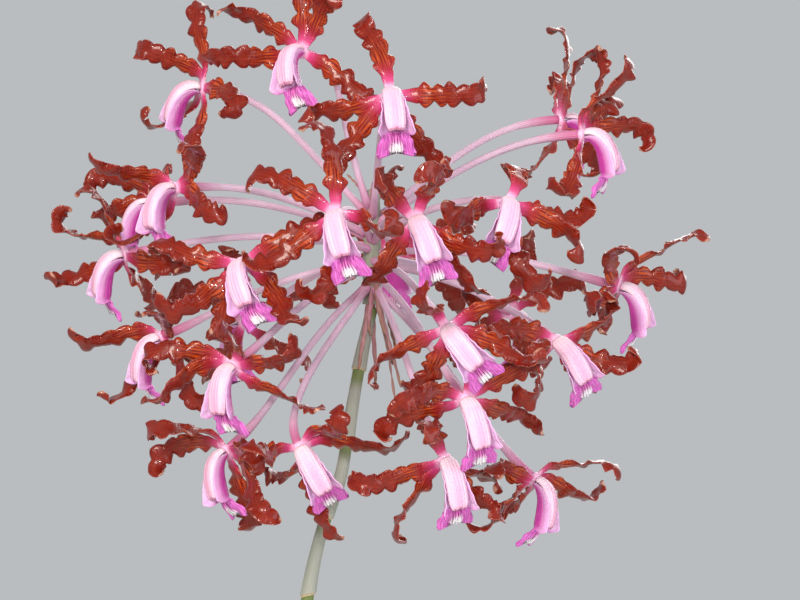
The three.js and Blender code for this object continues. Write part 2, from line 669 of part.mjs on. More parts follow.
// Column and lip: both follow a spine in the bloom's middle plane that turns from forwards to hanging
function lipSpine(bloom) {
  const end = radians(LIP_HANG + LIP_HANG_PER_NOD * bloomNod(bloom));
  const point = vector(0, -(RECEPTACLE_THICKNESS / 2 + SEAT_GAP), 0);
  const ds = LIP_LENGTH / LIP_STATIONS;
  const stations = [];
  for (let i = 0; i <= LIP_STATIONS; i++) {
    const u = Math.min((i * ds) / COLUMN_LENGTH, 1);
    const angle = end * (1 - (1 - u) ** LIP_TURN);
    const along = vector(0, -Math.cos(angle), -Math.sin(angle));
    const dorsal = vector(0, -Math.sin(angle), Math.cos(angle));
    stations.push({ point: point.clone(), dorsal });
    point.addScaledVector(along, ds);
  }
  return (distance) => stations[Math.round(distance / ds)];
}

function lipGeometry(bloom) {
  const at = lipSpine(bloom);
  const side = vector(1, 0, 0);
  return loft(LIP_SECTIONS.map(([distance, floor, spread, rim, valleyHalf, valley, crest]) => {
    const { point, dorsal } = at(distance);
    const corner = (x, z) => point.clone().addScaledVector(side, x).addScaledVector(dorsal, z);
    return [
      corner(0, floor), corner(-spread, rim), corner(-valleyHalf, valley),
      corner(0, crest), corner(valleyHalf, valley), corner(spread, rim),
    ];
  }));
}

function tepalsGeometry(shapes) {
  const radius = RECEPTACLE_RADIUS;
  const receptacle = new THREE.CylinderGeometry(radius, radius, RECEPTACLE_THICKNESS, RECEPTACLE_SIDES);
  receptacle.rotateY(Math.PI / RECEPTACLE_SIDES);
  return toGeometry(fuse([receptacle, ...shapes.map(tepalGeometry)]));
}

// Umbel
function pedicelCurve(bloom, matrix) {
  const lowest = RACHIS_LOW + PEDICEL_ROOT_INSET;
  const highest = RACHIS_LOW + RACHIS_LENGTH - PEDICEL_ROOT_INSET;
  const start = HUB.clone().add(vector(0, 0, clamp(bloom.at[2] * 0.2 + 3, lowest, highest)));
  const end = vector(0, RECEPTACLE_THICKNESS / 2 + SEAT_GAP, 0).applyMatrix4(matrix);
  const back = vector(0, 1, 0).transformDirection(matrix);
  const out = end.clone().sub(start).normalize();
  start.add(vector(out.x, out.y, 0).normalize().multiplyScalar(PEDICEL_ROOT));
  const leave = start.clone().addScaledVector(out, PEDICEL_OUTWARD).add(vector(0, 0, PEDICEL_RISE));
  const neck = end.clone().addScaledVector(back, PEDICEL_NECK);
  return new THREE.CubicBezierCurve3(start, leave, neck, end);
}

function pedicelGeometry(curve) {
  const corners = Array.from({ length: PEDICEL_SIDES }, (_, j) => {
    const angle = (2 * Math.PI * j) / PEDICEL_SIDES;
    return new THREE.Vector2(PEDICEL_RADIUS * Math.cos(angle), PEDICEL_RADIUS * Math.sin(angle));
  });
  return new THREE.ExtrudeGeometry(new THREE.Shape(corners), { steps: PEDICEL_STEPS, extrudePath: curve });
}

function bractGeometry(azimuth, level, tilt, length) {
  const out = vector(Math.cos(radians(azimuth)), Math.sin(radians(azimuth)), 0);
  const side = vector(-out.y, out.x, 0);
  const along = vector(0, 0, Math.cos(radians(tilt))).addScaledVector(out, Math.sin(radians(tilt)));
  const face = side.clone().cross(along);
  const root = HUB.clone().add(vector(0, 0, level)).addScaledVector(out, RACHIS_RADIUS * 0.55);
  const rings = [0, 0.5, 1].map((u) => {
    const centre = root.clone().addScaledVector(along, length * u).addScaledVector(face, 3 * u * u);
    const halfWidth = BRACT_WIDTH * (1 - 0.6 * u * u);
    return [
      centre.clone().addScaledVector(side, -halfWidth),
      centre.clone().addScaledVector(face, BRACT_THICKNESS / 2),
      centre.clone().addScaledVector(side, halfWidth),
      centre.clone().addScaledVector(face, -BRACT_THICKNESS / 2),
    ];
  });
  return loft(rings);
}

function umbelGeometry(curves) {
  const rachis = new THREE.CylinderGeometry(RACHIS_RADIUS * 0.8, RACHIS_RADIUS, RACHIS_LENGTH, 8);
  rachis.rotateX(Math.PI / 2);
  rachis.translate(HUB.x, HUB.y, HUB.z + RACHIS_LOW + SEAT_GAP + RACHIS_LENGTH / 2);
  const draw = seededDraws(31);
  const bracts = [];
  for (let i = 0; i < HANGING_BRACTS; i++) {
    const azimuth = -125 + (205 * i) / (HANGING_BRACTS - 1) + 10 * draw();
    const level = RACHIS_LOW + 4 + 10 * draw();
    bracts.push(bractGeometry(azimuth, level, 170 - 16 * draw(), 22 + 36 * draw()));
  }
  for (let i = 0; i < UPRIGHT_BRACTS; i++) {
    const azimuth = 40 + (360 * i) / UPRIGHT_BRACTS;
    bracts.push(bractGeometry(azimuth, RACHIS_LOW + RACHIS_LENGTH - 5, 22, 11 + 4 * draw()));
  }
  return toGeometry(fuse([rachis, ...curves.map(pedicelGeometry), ...bracts]));
}

// Assembly
const plant = new THREE.Group();

function place(parent, name, geometry, material) {
  const mesh = new THREE.Mesh(geometry, material);
  mesh.name = name;
  parent.add(mesh);
}

place(plant, 'pot', potGeometry(), terracotta);

const stalkHoles = GROWTHS.map((growth) => stalkGeometry(growth, SEAT_GAP));
place(plant, 'potting_medium', mediumGeometry([...stalkHoles, ...rhizomeGeometries(SEAT_GAP)]), bark);

const stalks = GROWTHS.map((growth) => stalkGeometry(growth, 0));
const bulbs = fuse([...GROWTHS.map(bulbGeometry), ...stalks, ...rhizomeGeometries(0)]);
place(plant, 'pseudobulbs', toGeometry(bulbs), bulbGreen);

GROWTHS.forEach((growth, i) => place(plant, `leaves_${i + 1}`, leafyTopGeometry(growth), leafGreen));

place(plant, 'scape', scapeGeometry(), sheathGrey);

const groups = BLOOMS.map(bloomGroup);
const pedicels = BLOOMS.map((bloom, i) => pedicelCurve(bloom, groups[i].matrixWorld));
place(plant, 'umbel', umbelGeometry(pedicels), pedicelLilac);

// What the tepals keep clear of: the lips and columns, the pedicels and the flower stalk
const guards = [];
BLOOMS.forEach((bloom, i) => {
  const spine = lipSpine(bloom);
  for (let distance = 6; distance <= LIP_LENGTH; distance += 4) {
    const { point, dorsal } = spine(distance);
    point.addScaledVector(dorsal, 0.5).applyMatrix4(groups[i].matrixWorld);
    guards.push({ point, reach: LIP_ROOM });
  }
  for (let k = 0; k <= 22; k++) guards.push({ point: pedicels[i].getPoint(k / 24), reach: PEDICEL_ROOM });
});
const scapePath = scapeCurve();
for (let k = 0; k <= 30; k++) guards.push({ point: scapePath.getPointAt(k / 100), reach: SCAPE_ROOM });

BLOOMS.forEach((bloom, i) => {
  const draw = seededDraws(1000 + 37 * i);
  const matrix = groups[i].matrixWorld;
  const directions = tipDirections(bloom, matrix);
  const shapes = directions.map((direction) => settleTepal(direction, draw, matrix, guards));
  for (const point of shapes.flatMap((shape) => guardPoints(shape, matrix))) {
    guards.push({ point, reach: TEPAL_ROOM });
  }
  const number = String(i + 1).padStart(2, '0');
  place(groups[i], `bloom_${number}_tepals`, tepalsGeometry(shapes), tepalMaroon);
  place(groups[i], `bloom_${number}_lip`, lipGeometry(bloom), lipPink);
  plant.add(groups[i]);
});

export default plant;
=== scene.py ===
# %% [markdown]
# # A potted Schomburgkia undulata in flower
# The plant's CAD model is loaded first and stays where it is. It says where every bloom, stem, leaf and
# the pot stand. Each step below puts a finer surface in the place of one or more of its plain solids.
# Shapes are worked out in millimetres and written to the meshes in metres, the unit of the frame.

import bpy
import numpy as np
from mathutils import Matrix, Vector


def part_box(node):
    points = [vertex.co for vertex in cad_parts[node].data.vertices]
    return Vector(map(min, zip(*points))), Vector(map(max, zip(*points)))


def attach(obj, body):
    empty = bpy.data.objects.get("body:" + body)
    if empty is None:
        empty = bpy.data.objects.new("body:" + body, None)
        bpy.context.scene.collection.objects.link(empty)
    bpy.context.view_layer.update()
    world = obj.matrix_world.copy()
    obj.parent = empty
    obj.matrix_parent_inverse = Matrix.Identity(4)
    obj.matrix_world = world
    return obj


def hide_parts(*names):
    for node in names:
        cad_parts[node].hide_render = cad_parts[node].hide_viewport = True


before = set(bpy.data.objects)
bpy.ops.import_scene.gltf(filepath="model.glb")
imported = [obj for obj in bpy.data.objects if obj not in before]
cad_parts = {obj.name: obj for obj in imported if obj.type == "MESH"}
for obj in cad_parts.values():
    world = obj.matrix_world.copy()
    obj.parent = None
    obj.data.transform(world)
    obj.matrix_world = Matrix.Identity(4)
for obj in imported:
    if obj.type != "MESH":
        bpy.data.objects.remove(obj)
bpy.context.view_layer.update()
MM = 0.001

# %% [markdown]
# ## One way to make every piece
# Nearly all of a plant is something long with a changing section: a petal, a stalk, a leaf. Each of these
# could be modelled by hand, but a loft says it in one line: a profile is carried along a path, and
# neighbouring rings are joined by quads. All rings are worked out together as one numpy array.
# Two numbers go with every point and later steer the colours: how far along the piece it lies, and how
# far across it.

# %% Lofts
def loft(rings, along, across):
    """A closed body through rings, an array of rows x columns x 3. Each ring is joined to the next one by
    quads, and a fan round the mean of its points closes each end. The faces are turned to point outwards
    if the signed volume, a sixth of the sum of a . (b x c) over the triangles, is negative."""
    rows, columns = rings.shape[:2]
    points = np.concatenate([rings.reshape(-1, 3), rings[0].mean(0)[None], rings[-1].mean(0)[None]])
    i = np.arange(rows - 1)[:, None]
    j = np.arange(columns)[None, :]
    a = i * columns + j
    b = i * columns + (j + 1) % columns
    quads = np.stack([a, b, b + columns, a + columns], -1).reshape(-1, 4)
    ring = np.arange(columns)
    after = (ring + 1) % columns
    first = np.stack([after, ring, np.full(columns, rows * columns)], -1)
    last = np.stack([ring, after, np.full(columns, rows * columns + 1)], -1)
    last[:, :2] += (rows - 1) * columns
    fans = np.concatenate([first, last])
    triangles = np.concatenate([quads[:, [0, 1, 2]], quads[:, [0, 2, 3]], fans])
    p, q, r = (points[triangles[:, k]] for k in range(3))
    if np.einsum("ij,ij->i", p, np.cross(q, r)).sum() < 0:
        quads, fans = quads[:, ::-1], fans[:, ::-1]
    along = np.broadcast_to(along, (rows, columns))
    across = np.broadcast_to(across, (rows, columns))
    return {
        "points": points,
        "quads": quads,
        "fans": fans,
        "along": np.concatenate([along.ravel(), [along[0, 0], along[-1, 0]]]),
        "across": np.concatenate([across.ravel(), [0.0, 0.0]]),
    }


def ease(x, low, high):
    """The smooth step 3t^2 - 2t^3, where t runs from 0 at low to 1 at high."""
    t = np.clip((x - low) / (high - low), 0, 1)
    return t * t * (3 - 2 * t)


def make_piece(name, bodies, finishes, nodes=()):
    """One mesh object from (body, finish number, side) entries. It sits at the origin with its place in
    its mesh, rides on the plant, and stands for the CAD nodes named. side is +1 or -1 for each point of
    a blade that has a front and a back, and tone is a number that is the same all over one body."""
    draws = np.random.default_rng(len(name) + 7 * len(bodies))
    points, corners, sizes, finish = [], [], [], []
    values = {key: [] for key in ("along", "across", "side", "tone")}
    base = 0
    for body, number, side in bodies:
        points.append(body["points"] * MM)
        for kind in ("quads", "fans"):
            faces = body[kind]
            corners.append(faces.ravel() + base)
            sizes.append(np.full(len(faces), faces.shape[1]))
            finish.append(np.full(len(faces), number))
        count = len(body["points"])
        values["along"].append(body["along"])
        values["across"].append(body["across"])
        values["side"].append(np.broadcast_to(side, count))
        values["tone"].append(np.full(count, draws.random()))
        base += count
    points, corners, sizes, finish = (np.concatenate(x) for x in (points, corners, sizes, finish))
    mesh = bpy.data.meshes.new(name)
    mesh.vertices.add(len(points))
    mesh.vertices.foreach_set("co", points.astype(np.float32).ravel())
    mesh.loops.add(len(corners))
    mesh.loops.foreach_set("vertex_index", corners.astype(np.int32))
    mesh.polygons.add(len(sizes))
    mesh.polygons.foreach_set("loop_start", (np.cumsum(sizes) - sizes).astype(np.int32))
    mesh.polygons.foreach_set("material_index", finish.astype(np.int32))
    mesh.polygons.foreach_set("use_smooth", np.ones(len(sizes), bool))
    mesh.update(calc_edges=True)
    for key, parts in values.items():
        layer = mesh.attributes.new(key, "FLOAT", "POINT")
        layer.data.foreach_set("value", np.concatenate(parts).astype(np.float32))
    for material in finishes:
        mesh.materials.append(material)
    piece = bpy.data.objects.new(name, mesh)
    bpy.context.scene.collection.objects.link(piece)
    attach(piece, "root")
    if nodes:
        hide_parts(*nodes)
    return piece


# %% [markdown]
# ## Materials as small node trees
# A finish is a Principled shader fed by a few nodes. One function adds any node: its settings are named
# values, and its inputs are numbers, colours or the outputs of other nodes. Colours are written as the
# sRGB hex values that a picture editor shows, and are turned to the linear values that Blender wants.
# Living tissue has no single colour, so each finish is a ground colour with coats laid over it, and each
# coat covers where something tells it to: the place along the piece, across it, or a noise.

# %% Nodes and colours
def linear(hex_colour):
    """sRGB hex to linear: c / 12.92 below 0.04045, else ((c + 0.055) / 1.055) to the power 2.4."""
    c = np.array([int(hex_colour[k:k + 2], 16) / 255 for k in (1, 3, 5)])
    c = np.where(c < 0.04045, c / 12.92, ((c + 0.055) / 1.055) ** 2.4)
    return (*c.tolist(), 1.0)


def feed(node, inputs):
    """Links the inputs that are outputs of other nodes, and sets those that are numbers or hex colours."""
    for key, value in inputs.items():
        if isinstance(value, bpy.types.NodeSocket):
            node.id_data.links.new(value, node.inputs[key])
        else:
            node.inputs[key].default_value = linear(value) if isinstance(value, str) else value


def add(tree, kind, inputs, output=0, **settings):
    """Adds a node with its settings and links, and gives the output that goes on from it."""
    node = tree.nodes.new("ShaderNode" + kind)
    for key, value in settings.items():
        setattr(node, key, value)
    feed(node, inputs)
    return node.outputs[output]


# %% [markdown]
# ## Three things that every finish is made with
# A finish starts from a function that says what goes into its shader. Coats and waves are short chains
# of nodes that most finishes need, so each chain is written once.

# %% Finishes, coats and waves
NOISE = {"Detail": 3.0, "Roughness": 0.55}


def make_finish(name, surface):
    """A material whose Principled shader is fed with what surface(tree) gives, by input name."""
    material = bpy.data.materials.new(name)
    material.use_nodes = True
    feed(material.node_tree.nodes["Principled BSDF"], surface(material.node_tree))
    return material


def coats(tree, colour, *layers):
    """Colours laid over one another. A layer (source, over, most) covers by most times its source, a number
    from 0 to 1. A layer (source, over, most, none, full) covers by most times 3t^2 - 2t^3, where t runs
    from 0 where the source is none to 1 where it is full, and none may be the larger of the two."""
    for source, over, most, *step in layers:
        none, full = step or (0.0, 1.0)
        cover = add(tree, "MapRange", {"Value": source, "From Min": none, "From Max": full, "To Max": most},
                    interpolation_type="SMOOTHSTEP" if step else "LINEAR")
        colour = add(tree, "Mix", {0: cover, 6: colour, 7: over}, 2, data_type="RGBA")
    return colour


def waves(tree, source, count, swing=0.5, middle=0.5, start=0.0):
    """Ridges of middle + swing sin(2 pi count source + start), count of them for each 1 of the source."""
    turned = add(tree, "Math", {0: source, 1: 2 * np.pi * count, 2: start}, operation="MULTIPLY_ADD")
    sine = add(tree, "Math", {0: turned}, operation="SINE")
    return add(tree, "Math", {0: sine, 1: swing, 2: middle}, operation="MULTIPLY_ADD")


print("noise settings shared by the finishes:", NOISE)

# %% [markdown]
# ## Waxy tepal tissue
# The sepals and petals of this orchid are fleshy and covered by a thick cuticle, which grows as a glossy
# skin. The blade is rose where it leaves the flower's centre, red-brown with orange streaks beyond, and
# its worn rim is pale. The colour could be painted, but it follows the blade, so the two numbers carried
# by the mesh place it.

# %% Tepal finish
TEPAL_MM = 40


def tepal_tissue(tree):
    """Cuticle, grown: the eye sees deep red-brown with small hard highlights on every ripple. Streaks are
    noise on (7 across, 5 along), and the pleats of the relief fade in towards the margins."""
    along, across, side, tone = (add(tree, "Attribute", {}, "Fac", attribute_name=name)
                                 for name in ("along", "across", "side", "tone"))
    off_middle = add(tree, "Math", {0: across}, operation="ABSOLUTE")
    spot = add(tree, "TexCoord", {}, "Object")
    blotches, fine = (
        add(tree, "TexNoise", {**NOISE, "Vector": spot, "Scale": 1 / (size * MM), "Detail": detail})
        for size, detail in ((3.5, 3.0), (0.7, 2.0)))
    # orange streaks about 0.5 mm wide run lengthwise over the inner third and fade outwards
    flat = add(tree, "CombineXYZ", {"X": across, "Y": along})
    lengthwise = add(tree, "Mapping", {"Vector": flat, "Scale": (7.0, 5.0, 1.0)})
    streaks = add(tree, "TexNoise", {"Vector": lengthwise, "Scale": 1.0, "Detail": 2.0})
    streaks = add(tree, "MapRange", {"Value": streaks, "From Min": 0.42, "From Max": 0.62},
                  interpolation_type="SMOOTHSTEP")
    inner = add(tree, "MapRange", {"Value": along, "From Min": 0.6, "From Max": 0.26, "To Min": 0.12,
                                   "To Max": 0.72}, interpolation_type="SMOOTHSTEP")
    streaks = add(tree, "Math", {0: streaks, 1: inner}, operation="MULTIPLY")
    body = coats(tree, "#520C06", (blotches, "#861B0E", 1.0), (tone, "#6E140C", 0.4, 0.0, 1.0),
                 (streaks, "#C4501A", 1.0), (side, "#7C2418", 0.55, 0.2, -0.2),
                 (along, "#9E1A3C", 1.0, 0.32, 0.08), (along, "#CC4A80", 1.0, 0.2, 0.04),
                 (along, "#EFB4D2", 1.0, 0.09, 0.015), (off_middle, "#A86456", 0.6, 0.93, 1.0),
                 (along, "#D8A88C", 0.6, 0.975, 1.0))
    # fine pleats stand square to the margin, about 1.3 mm apart
    to_margin = add(tree, "MapRange", {"Value": off_middle, "From Min": 0.25, "From Max": 0.9},
                    interpolation_type="SMOOTHSTEP")
    pleats = waves(tree, along, TEPAL_MM / 1.3, 0.35, 0.0)
    cells = add(tree, "Math", {0: fine, 1: 0.5}, operation="MULTIPLY")
    height = add(tree, "Math", {0: pleats, 1: to_margin, 2: cells}, operation="MULTIPLY_ADD")
    return {
        "Base Color": body,
        "Normal": add(tree, "Bump", {"Height": height, "Distance": 0.3 * MM, "Strength": 0.8}),
        "Roughness": add(tree, "MapRange", {"Value": fine, "To Min": 0.2, "To Max": 0.42}),
        "IOR": 1.47, "Specular IOR Level": 0.2, "Coat Weight": 0.3, "Coat Roughness": 0.06,
        "Subsurface Weight": 0.06, "Subsurface Radius": (1.0, 0.25, 0.15), "Subsurface Scale": 0.0012,
    }


TEPAL_TISSUE = make_finish("waxy_tepal_tissue_grown", tepal_tissue)
print("made", TEPAL_TISSUE.name)

# %% [markdown]
# ## The tissue of the column and the lip
# The column is the thick band that hangs in the middle of each bloom, and the lip is the petal behind it.
# Both are soft, water-filled and matt, with a skin of tiny bulging cells that scatters light, so they
# glow rather than shine. The column is nearly white at its root and softly pink along its middle, with a
# thin dark outline at its end. The lip's side lobes are pale lilac inside and magenta outside, and its
# middle lobe has white keels with dark gaps between two magenta corners.

# %% Column and lip finishes
def column_tissue(tree):
    """Soft tissue, grown: the eye sees a pinkish white glow without hard highlights. The pink stripe is the
    product of a step off the middle and a step along, and the folds are 3 sine waves from -1 to 1 across."""
    along, across = (add(tree, "Attribute", {}, "Fac", attribute_name=name) for name in ("along", "across"))
    off_middle = add(tree, "Math", {0: across}, operation="ABSOLUTE")
    spot = add(tree, "TexCoord", {}, "Object")
    cloud, cells = (
        add(tree, "TexNoise", {**NOISE, "Vector": spot, "Scale": 1 / (size * MM), "Detail": detail})
        for size, detail in ((2.5, 3.0), (0.5, 1.0)))
    stripe, low = (add(tree, "MapRange", {"Value": source, "From Min": none, "From Max": full},
                       interpolation_type="SMOOTHSTEP")
                   for source, none, full in ((off_middle, 0.75, 0.1), (along, 0.12, 0.6)))
    stripe = add(tree, "Math", {0: stripe, 1: low}, operation="MULTIPLY")
    body = coats(tree, "#E8B2CA", (cloud, "#EFC8DA", 1.0), (stripe, "#E48DB4", 0.55),
                 (along, "#F3D9E4", 1.0, 0.3, 0.04), (along, "#A8587E", 0.6, 0.955, 0.985))
    # faint folds run lengthwise under the skin of tiny cells
    height = add(tree, "Math", {0: waves(tree, across, 3, 0.8, 0.0), 1: cells}, operation="ADD")
    return {
        "Base Color": body, "Roughness": 0.42, "IOR": 1.42,
        "Normal": add(tree, "Bump", {"Height": height, "Distance": 0.2 * MM, "Strength": 0.5}),
        "Subsurface Weight": 0.22, "Subsurface Radius": (1.0, 0.45, 0.7), "Subsurface Scale": 0.002,
    }


def lip_tissue(tree):
    """Soft tissue, grown: the eye sees lilac walls, a magenta fan and white fingers. The fingers are the
    ridges of a cosine, 7 for each 1 across, and the dark gaps are its hollows."""
    along, across, side = (add(tree, "Attribute", {}, "Fac", attribute_name=name)
                           for name in ("along", "across", "side"))
    off_middle = add(tree, "Math", {0: across}, operation="ABSOLUTE")
    spot = add(tree, "TexCoord", {}, "Object")
    cloud, cells = (
        add(tree, "TexNoise", {**NOISE, "Vector": spot, "Scale": 1 / (size * MM), "Detail": detail})
        for size, detail in ((2.0, 3.0), (0.5, 1.0)))
    # veins fan out along the lip, about 0.9 mm apart
    veins = waves(tree, across, 7.5)
    fingers = waves(tree, across, 7, 1.0, 0.0, np.pi / 2)
    inner = coats(tree, "#D6A6D0", (cloud, "#E4C2DE", 1.0), (veins, "#CC84C4", 0.25))
    outer = coats(tree, "#AE2C8E", (cloud, "#C848A4", 1.0), (veins, "#98207A", 0.3),
                  (off_middle, "#E1B4DC", 0.85, 0.7, 1.0))
    corner = coats(tree, "#B83A9E", (cloud, "#CC5CB4", 1.0), (veins, "#E4A0D4", 0.35))
    lobe = coats(tree, "#D468B4", (along, "#F6EEF2", 1.0, 0.8, 0.92), (fingers, "#8C2C6E", 0.8, -0.1, -0.8),
                 (off_middle, corner, 1.0, 0.24, 0.42))
    body = coats(tree, outer, (side, inner, 1.0, -0.1, 0.1), (along, lobe, 1.0, 0.66, 0.74))
    height = add(tree, "Math", {0: veins, 1: 0.6, 2: cells}, operation="MULTIPLY_ADD")
    return {
        "Base Color": body, "Roughness": 0.4, "IOR": 1.42,
        "Normal": add(tree, "Bump", {"Height": height, "Distance": 0.15 * MM, "Strength": 0.6}),
        "Subsurface Weight": 0.18, "Subsurface Radius": (1.0, 0.4, 0.8), "Subsurface Scale": 0.0015,
    }


COLUMN_TISSUE = make_finish("soft_column_tissue_grown", column_tissue)
LIP_TISSUE = make_finish("soft_lip_tissue_grown", lip_tissue)
print("made", COLUMN_TISSUE.name, "and", LIP_TISSUE.name)

# %% [markdown]
# ## The finishes of stems and bracts
# Pedicels are smooth and lilac, with fine ribs, and pinker towards the bloom. The flower stalk is olive
# under grey papery sheaths with long fibres. Bracts are dry and thin as onion skin. Fibres could be
# modelled, but at this distance noise that is stretched along the piece looks the same.

# %% Stem and bract finishes
def pedicel_tissue(tree):
    """Ribbed stem tissue, grown: the eye sees a soft lilac sheen with lengthwise ribs, 14 round the stem."""
    along, across = (add(tree, "Attribute", {}, "Fac", attribute_name=name) for name in ("along", "across"))
    spot = add(tree, "TexCoord", {}, "Object")
    cloud = add(tree, "TexNoise", {**NOISE, "Vector": spot, "Scale": 1 / (6.0 * MM)})
    ribs = waves(tree, across, 7)
    return {
        "Base Color": coats(tree, "#CCA6BE", (cloud, "#DCC4D2", 1.0), (ribs, "#AC7C9C", 0.35),
                            (along, "#BC5484", 0.85, 0.72, 1.0), (along, "#C46F98", 0.6, 0.14, 0.0)),
        "Normal": add(tree, "Bump", {"Height": ribs, "Distance": 0.15 * MM, "Strength": 0.5}),
        "Roughness": 0.45, "IOR": 1.42, "Subsurface Weight": 0.12, "Subsurface Scale": 0.001,
    }


def stalk_sheath(tree):
    """Papery sheath, dried on the stalk: the eye sees dull grey fibres, green where a sheath begins and a
    tan edge where it ends. Fibres are noise on (26 across, 1.6 along)."""
    along, across = (add(tree, "Attribute", {}, "Fac", attribute_name=name) for name in ("along", "across"))
    spot = add(tree, "TexCoord", {}, "Object")
    stains, moss = (add(tree, "TexNoise", {**NOISE, "Vector": spot, "Scale": 1 / (size * MM)})
                    for size in (9.0, 3.0))
    flat = add(tree, "CombineXYZ", {"X": across, "Y": along})
    lengthwise = add(tree, "Mapping", {"Vector": flat, "Scale": (26.0, 1.6, 1.0)})
    fibres = add(tree, "TexNoise", {"Vector": lengthwise, "Scale": 1.0, "Detail": 3.0})
    green = coats(tree, "#4E5F24", (moss, "#77804A", 1.0))
    return {
        "Base Color": coats(tree, "#7C8072", (fibres, "#AEB0A4", 1.0), (stains, "#8B8474", 0.3),
                            (along, green, 1.0, 0.3, 0.05), (along, "#C3A57C", 0.7, 0.955, 0.985)),
        "Normal": add(tree, "Bump", {"Height": fibres, "Distance": 0.25 * MM, "Strength": 0.7}),
        "Roughness": 0.62,
    }


def dry_bract(tree):
    """Membrane, dried: the eye sees thin crumpled tan and pink-brown strips, browner at their ends."""
    along, tone = (add(tree, "Attribute", {}, "Fac", attribute_name=name) for name in ("along", "tone"))
    spot = add(tree, "TexCoord", {}, "Object")
    cloud, crumple = (add(tree, "TexNoise", {**NOISE, "Vector": spot, "Scale": 1 / (size * MM)})
                      for size in (4.0, 0.8))
    return {
        "Base Color": coats(tree, "#7A4A40", (cloud, "#B08A78", 1.0), (tone, "#B9788E", 0.7),
                            (along, "#8E6450", 1.0, 0.6, 1.0)),
        "Normal": add(tree, "Bump", {"Height": crumple, "Distance": 0.15 * MM, "Strength": 0.6}),
        "Roughness": 0.55,
    }


PEDICEL_TISSUE = make_finish("ribbed_pedicel_tissue_grown", pedicel_tissue)
STALK_SHEATH = make_finish("papery_stalk_sheath_dried", stalk_sheath)
DRY_BRACT = make_finish("dry_bract_membrane", dry_bract)
print("made", PEDICEL_TISSUE.name, STALK_SHEATH.name, DRY_BRACT.name)

# %% [markdown]
# ## The finishes of bulbs and leaves
# Pseudobulbs and leaves have a green cuticle with a soft shine, and the foot of each bulb keeps the dry
# sheath of the leaf that once grew there. A plain green would look like plastic, so age shows in yellow
# patches, specks and worn tips.

# %% Bulb, leaf and old sheath finishes
def bulb_tissue(tree):
    """Cuticle over a water store, grown: the eye sees a softly shining green with yellowed patches and 50
    fine furrows round the bulb."""
    along, across = (add(tree, "Attribute", {}, "Fac", attribute_name=name) for name in ("along", "across"))
    spot = add(tree, "TexCoord", {}, "Object")
    cloud, old = (add(tree, "TexNoise", {**NOISE, "Vector": spot, "Scale": 1 / (size * MM), "Detail": detail})
                  for size, detail in ((14.0, 5.0), (22.0, 6.0)))
    furrows = waves(tree, across, 25)
    return {
        "Base Color": coats(tree, "#66772F", (cloud, "#93A052", 1.0), (furrows, "#55662A", 0.25),
                            (old, "#A08A4A", 0.5, 0.52, 0.68), (along, "#6F5E3C", 1.0, 0.12, 0.0)),
        "Normal": add(tree, "Bump", {"Height": furrows, "Distance": 0.5 * MM, "Strength": 0.5}),
        "Roughness": 0.45, "Coat Weight": 0.15,
    }


def leaf_blade(tree):
    """Leathery blade, grown: the eye sees dark green with a broad soft shine, a pale midrib, a paler back
    and a worn tip. The worn part starts where along + 0.08 noise passes 0.985."""
    along, across, side = (add(tree, "Attribute", {}, "Fac", attribute_name=name)
                           for name in ("along", "across", "side"))
    off_middle = add(tree, "Math", {0: across}, operation="ABSOLUTE")
    spot = add(tree, "TexCoord", {}, "Object")
    cloud, ragged, specks, cells, sheen = (
        add(tree, "TexNoise", {**NOISE, "Vector": spot, "Scale": 1 / (size * MM), "Detail": detail})
        for size, detail in ((18.0, 4.0), (7.0, 3.0), (2.2, 1.0), (1.5, 3.0), (12.0, 3.0)))
    veins = waves(tree, across, 12)
    worn = add(tree, "Math", {0: ragged, 1: 0.08, 2: along}, operation="MULTIPLY_ADD")
    height = add(tree, "Math", {0: veins, 1: 0.4, 2: cells}, operation="MULTIPLY_ADD")
    return {
        "Base Color": coats(tree, "#2F5520", (cloud, "#4C7531", 1.0), (veins, "#6B8F43", 0.22),
                            (off_middle, "#8FA95C", 0.6, 0.07, 0.015), (side, "#6E8B50", 0.5, 0.2, -0.2),
                            (off_middle, "#9AA05E", 0.6, 0.95, 1.0), (worn, "#8A6A3E", 1.0, 0.985, 1.04),
                            (along, "#8E9A58", 0.7, 0.12, 0.0), (specks, "#6E6A3A", 0.5, 0.7, 0.76)),
        "Normal": add(tree, "Bump", {"Height": height, "Distance": 0.3 * MM, "Strength": 0.5}),
        "Roughness": add(tree, "MapRange", {"Value": sheen, "To Min": 0.3, "To Max": 0.5}),
        "Coat Weight": 0.2, "Coat Roughness": 0.3,
    }


def old_sheath(tree):
    """Old sheath, dried and split: the eye sees dull straw-coloured fibres. Fibres are noise on
    (60 across, 3 along)."""
    along, across = (add(tree, "Attribute", {}, "Fac", attribute_name=name) for name in ("along", "across"))
    spot = add(tree, "TexCoord", {}, "Object")
    stains = add(tree, "TexNoise", {**NOISE, "Vector": spot, "Scale": 1 / (12.0 * MM)})
    flat = add(tree, "CombineXYZ", {"X": across, "Y": along})
    lengthwise = add(tree, "Mapping", {"Vector": flat, "Scale": (60.0, 3.0, 1.0)})
    fibres = add(tree, "TexNoise", {"Vector": lengthwise, "Scale": 1.0, "Detail": 4.0})
    return {
        "Base Color": coats(tree, "#6E5A3E", (fibres, "#C2B08A", 1.0), (stains, "#8F8468", 0.5)),
        "Normal": add(tree, "Bump", {"Height": fibres, "Distance": 0.4 * MM, "Strength": 0.8}),
        "Roughness": 0.75,
    }


BULB_TISSUE = make_finish("pseudobulb_cuticle_grown", bulb_tissue)
LEAF_BLADE = make_finish("leathery_leaf_blade_grown", leaf_blade)
OLD_SHEATH = make_finish("old_bulb_sheath_dried", old_sheath)
print("made", BULB_TISSUE.name, LEAF_BLADE.name, OLD_SHEATH.name)

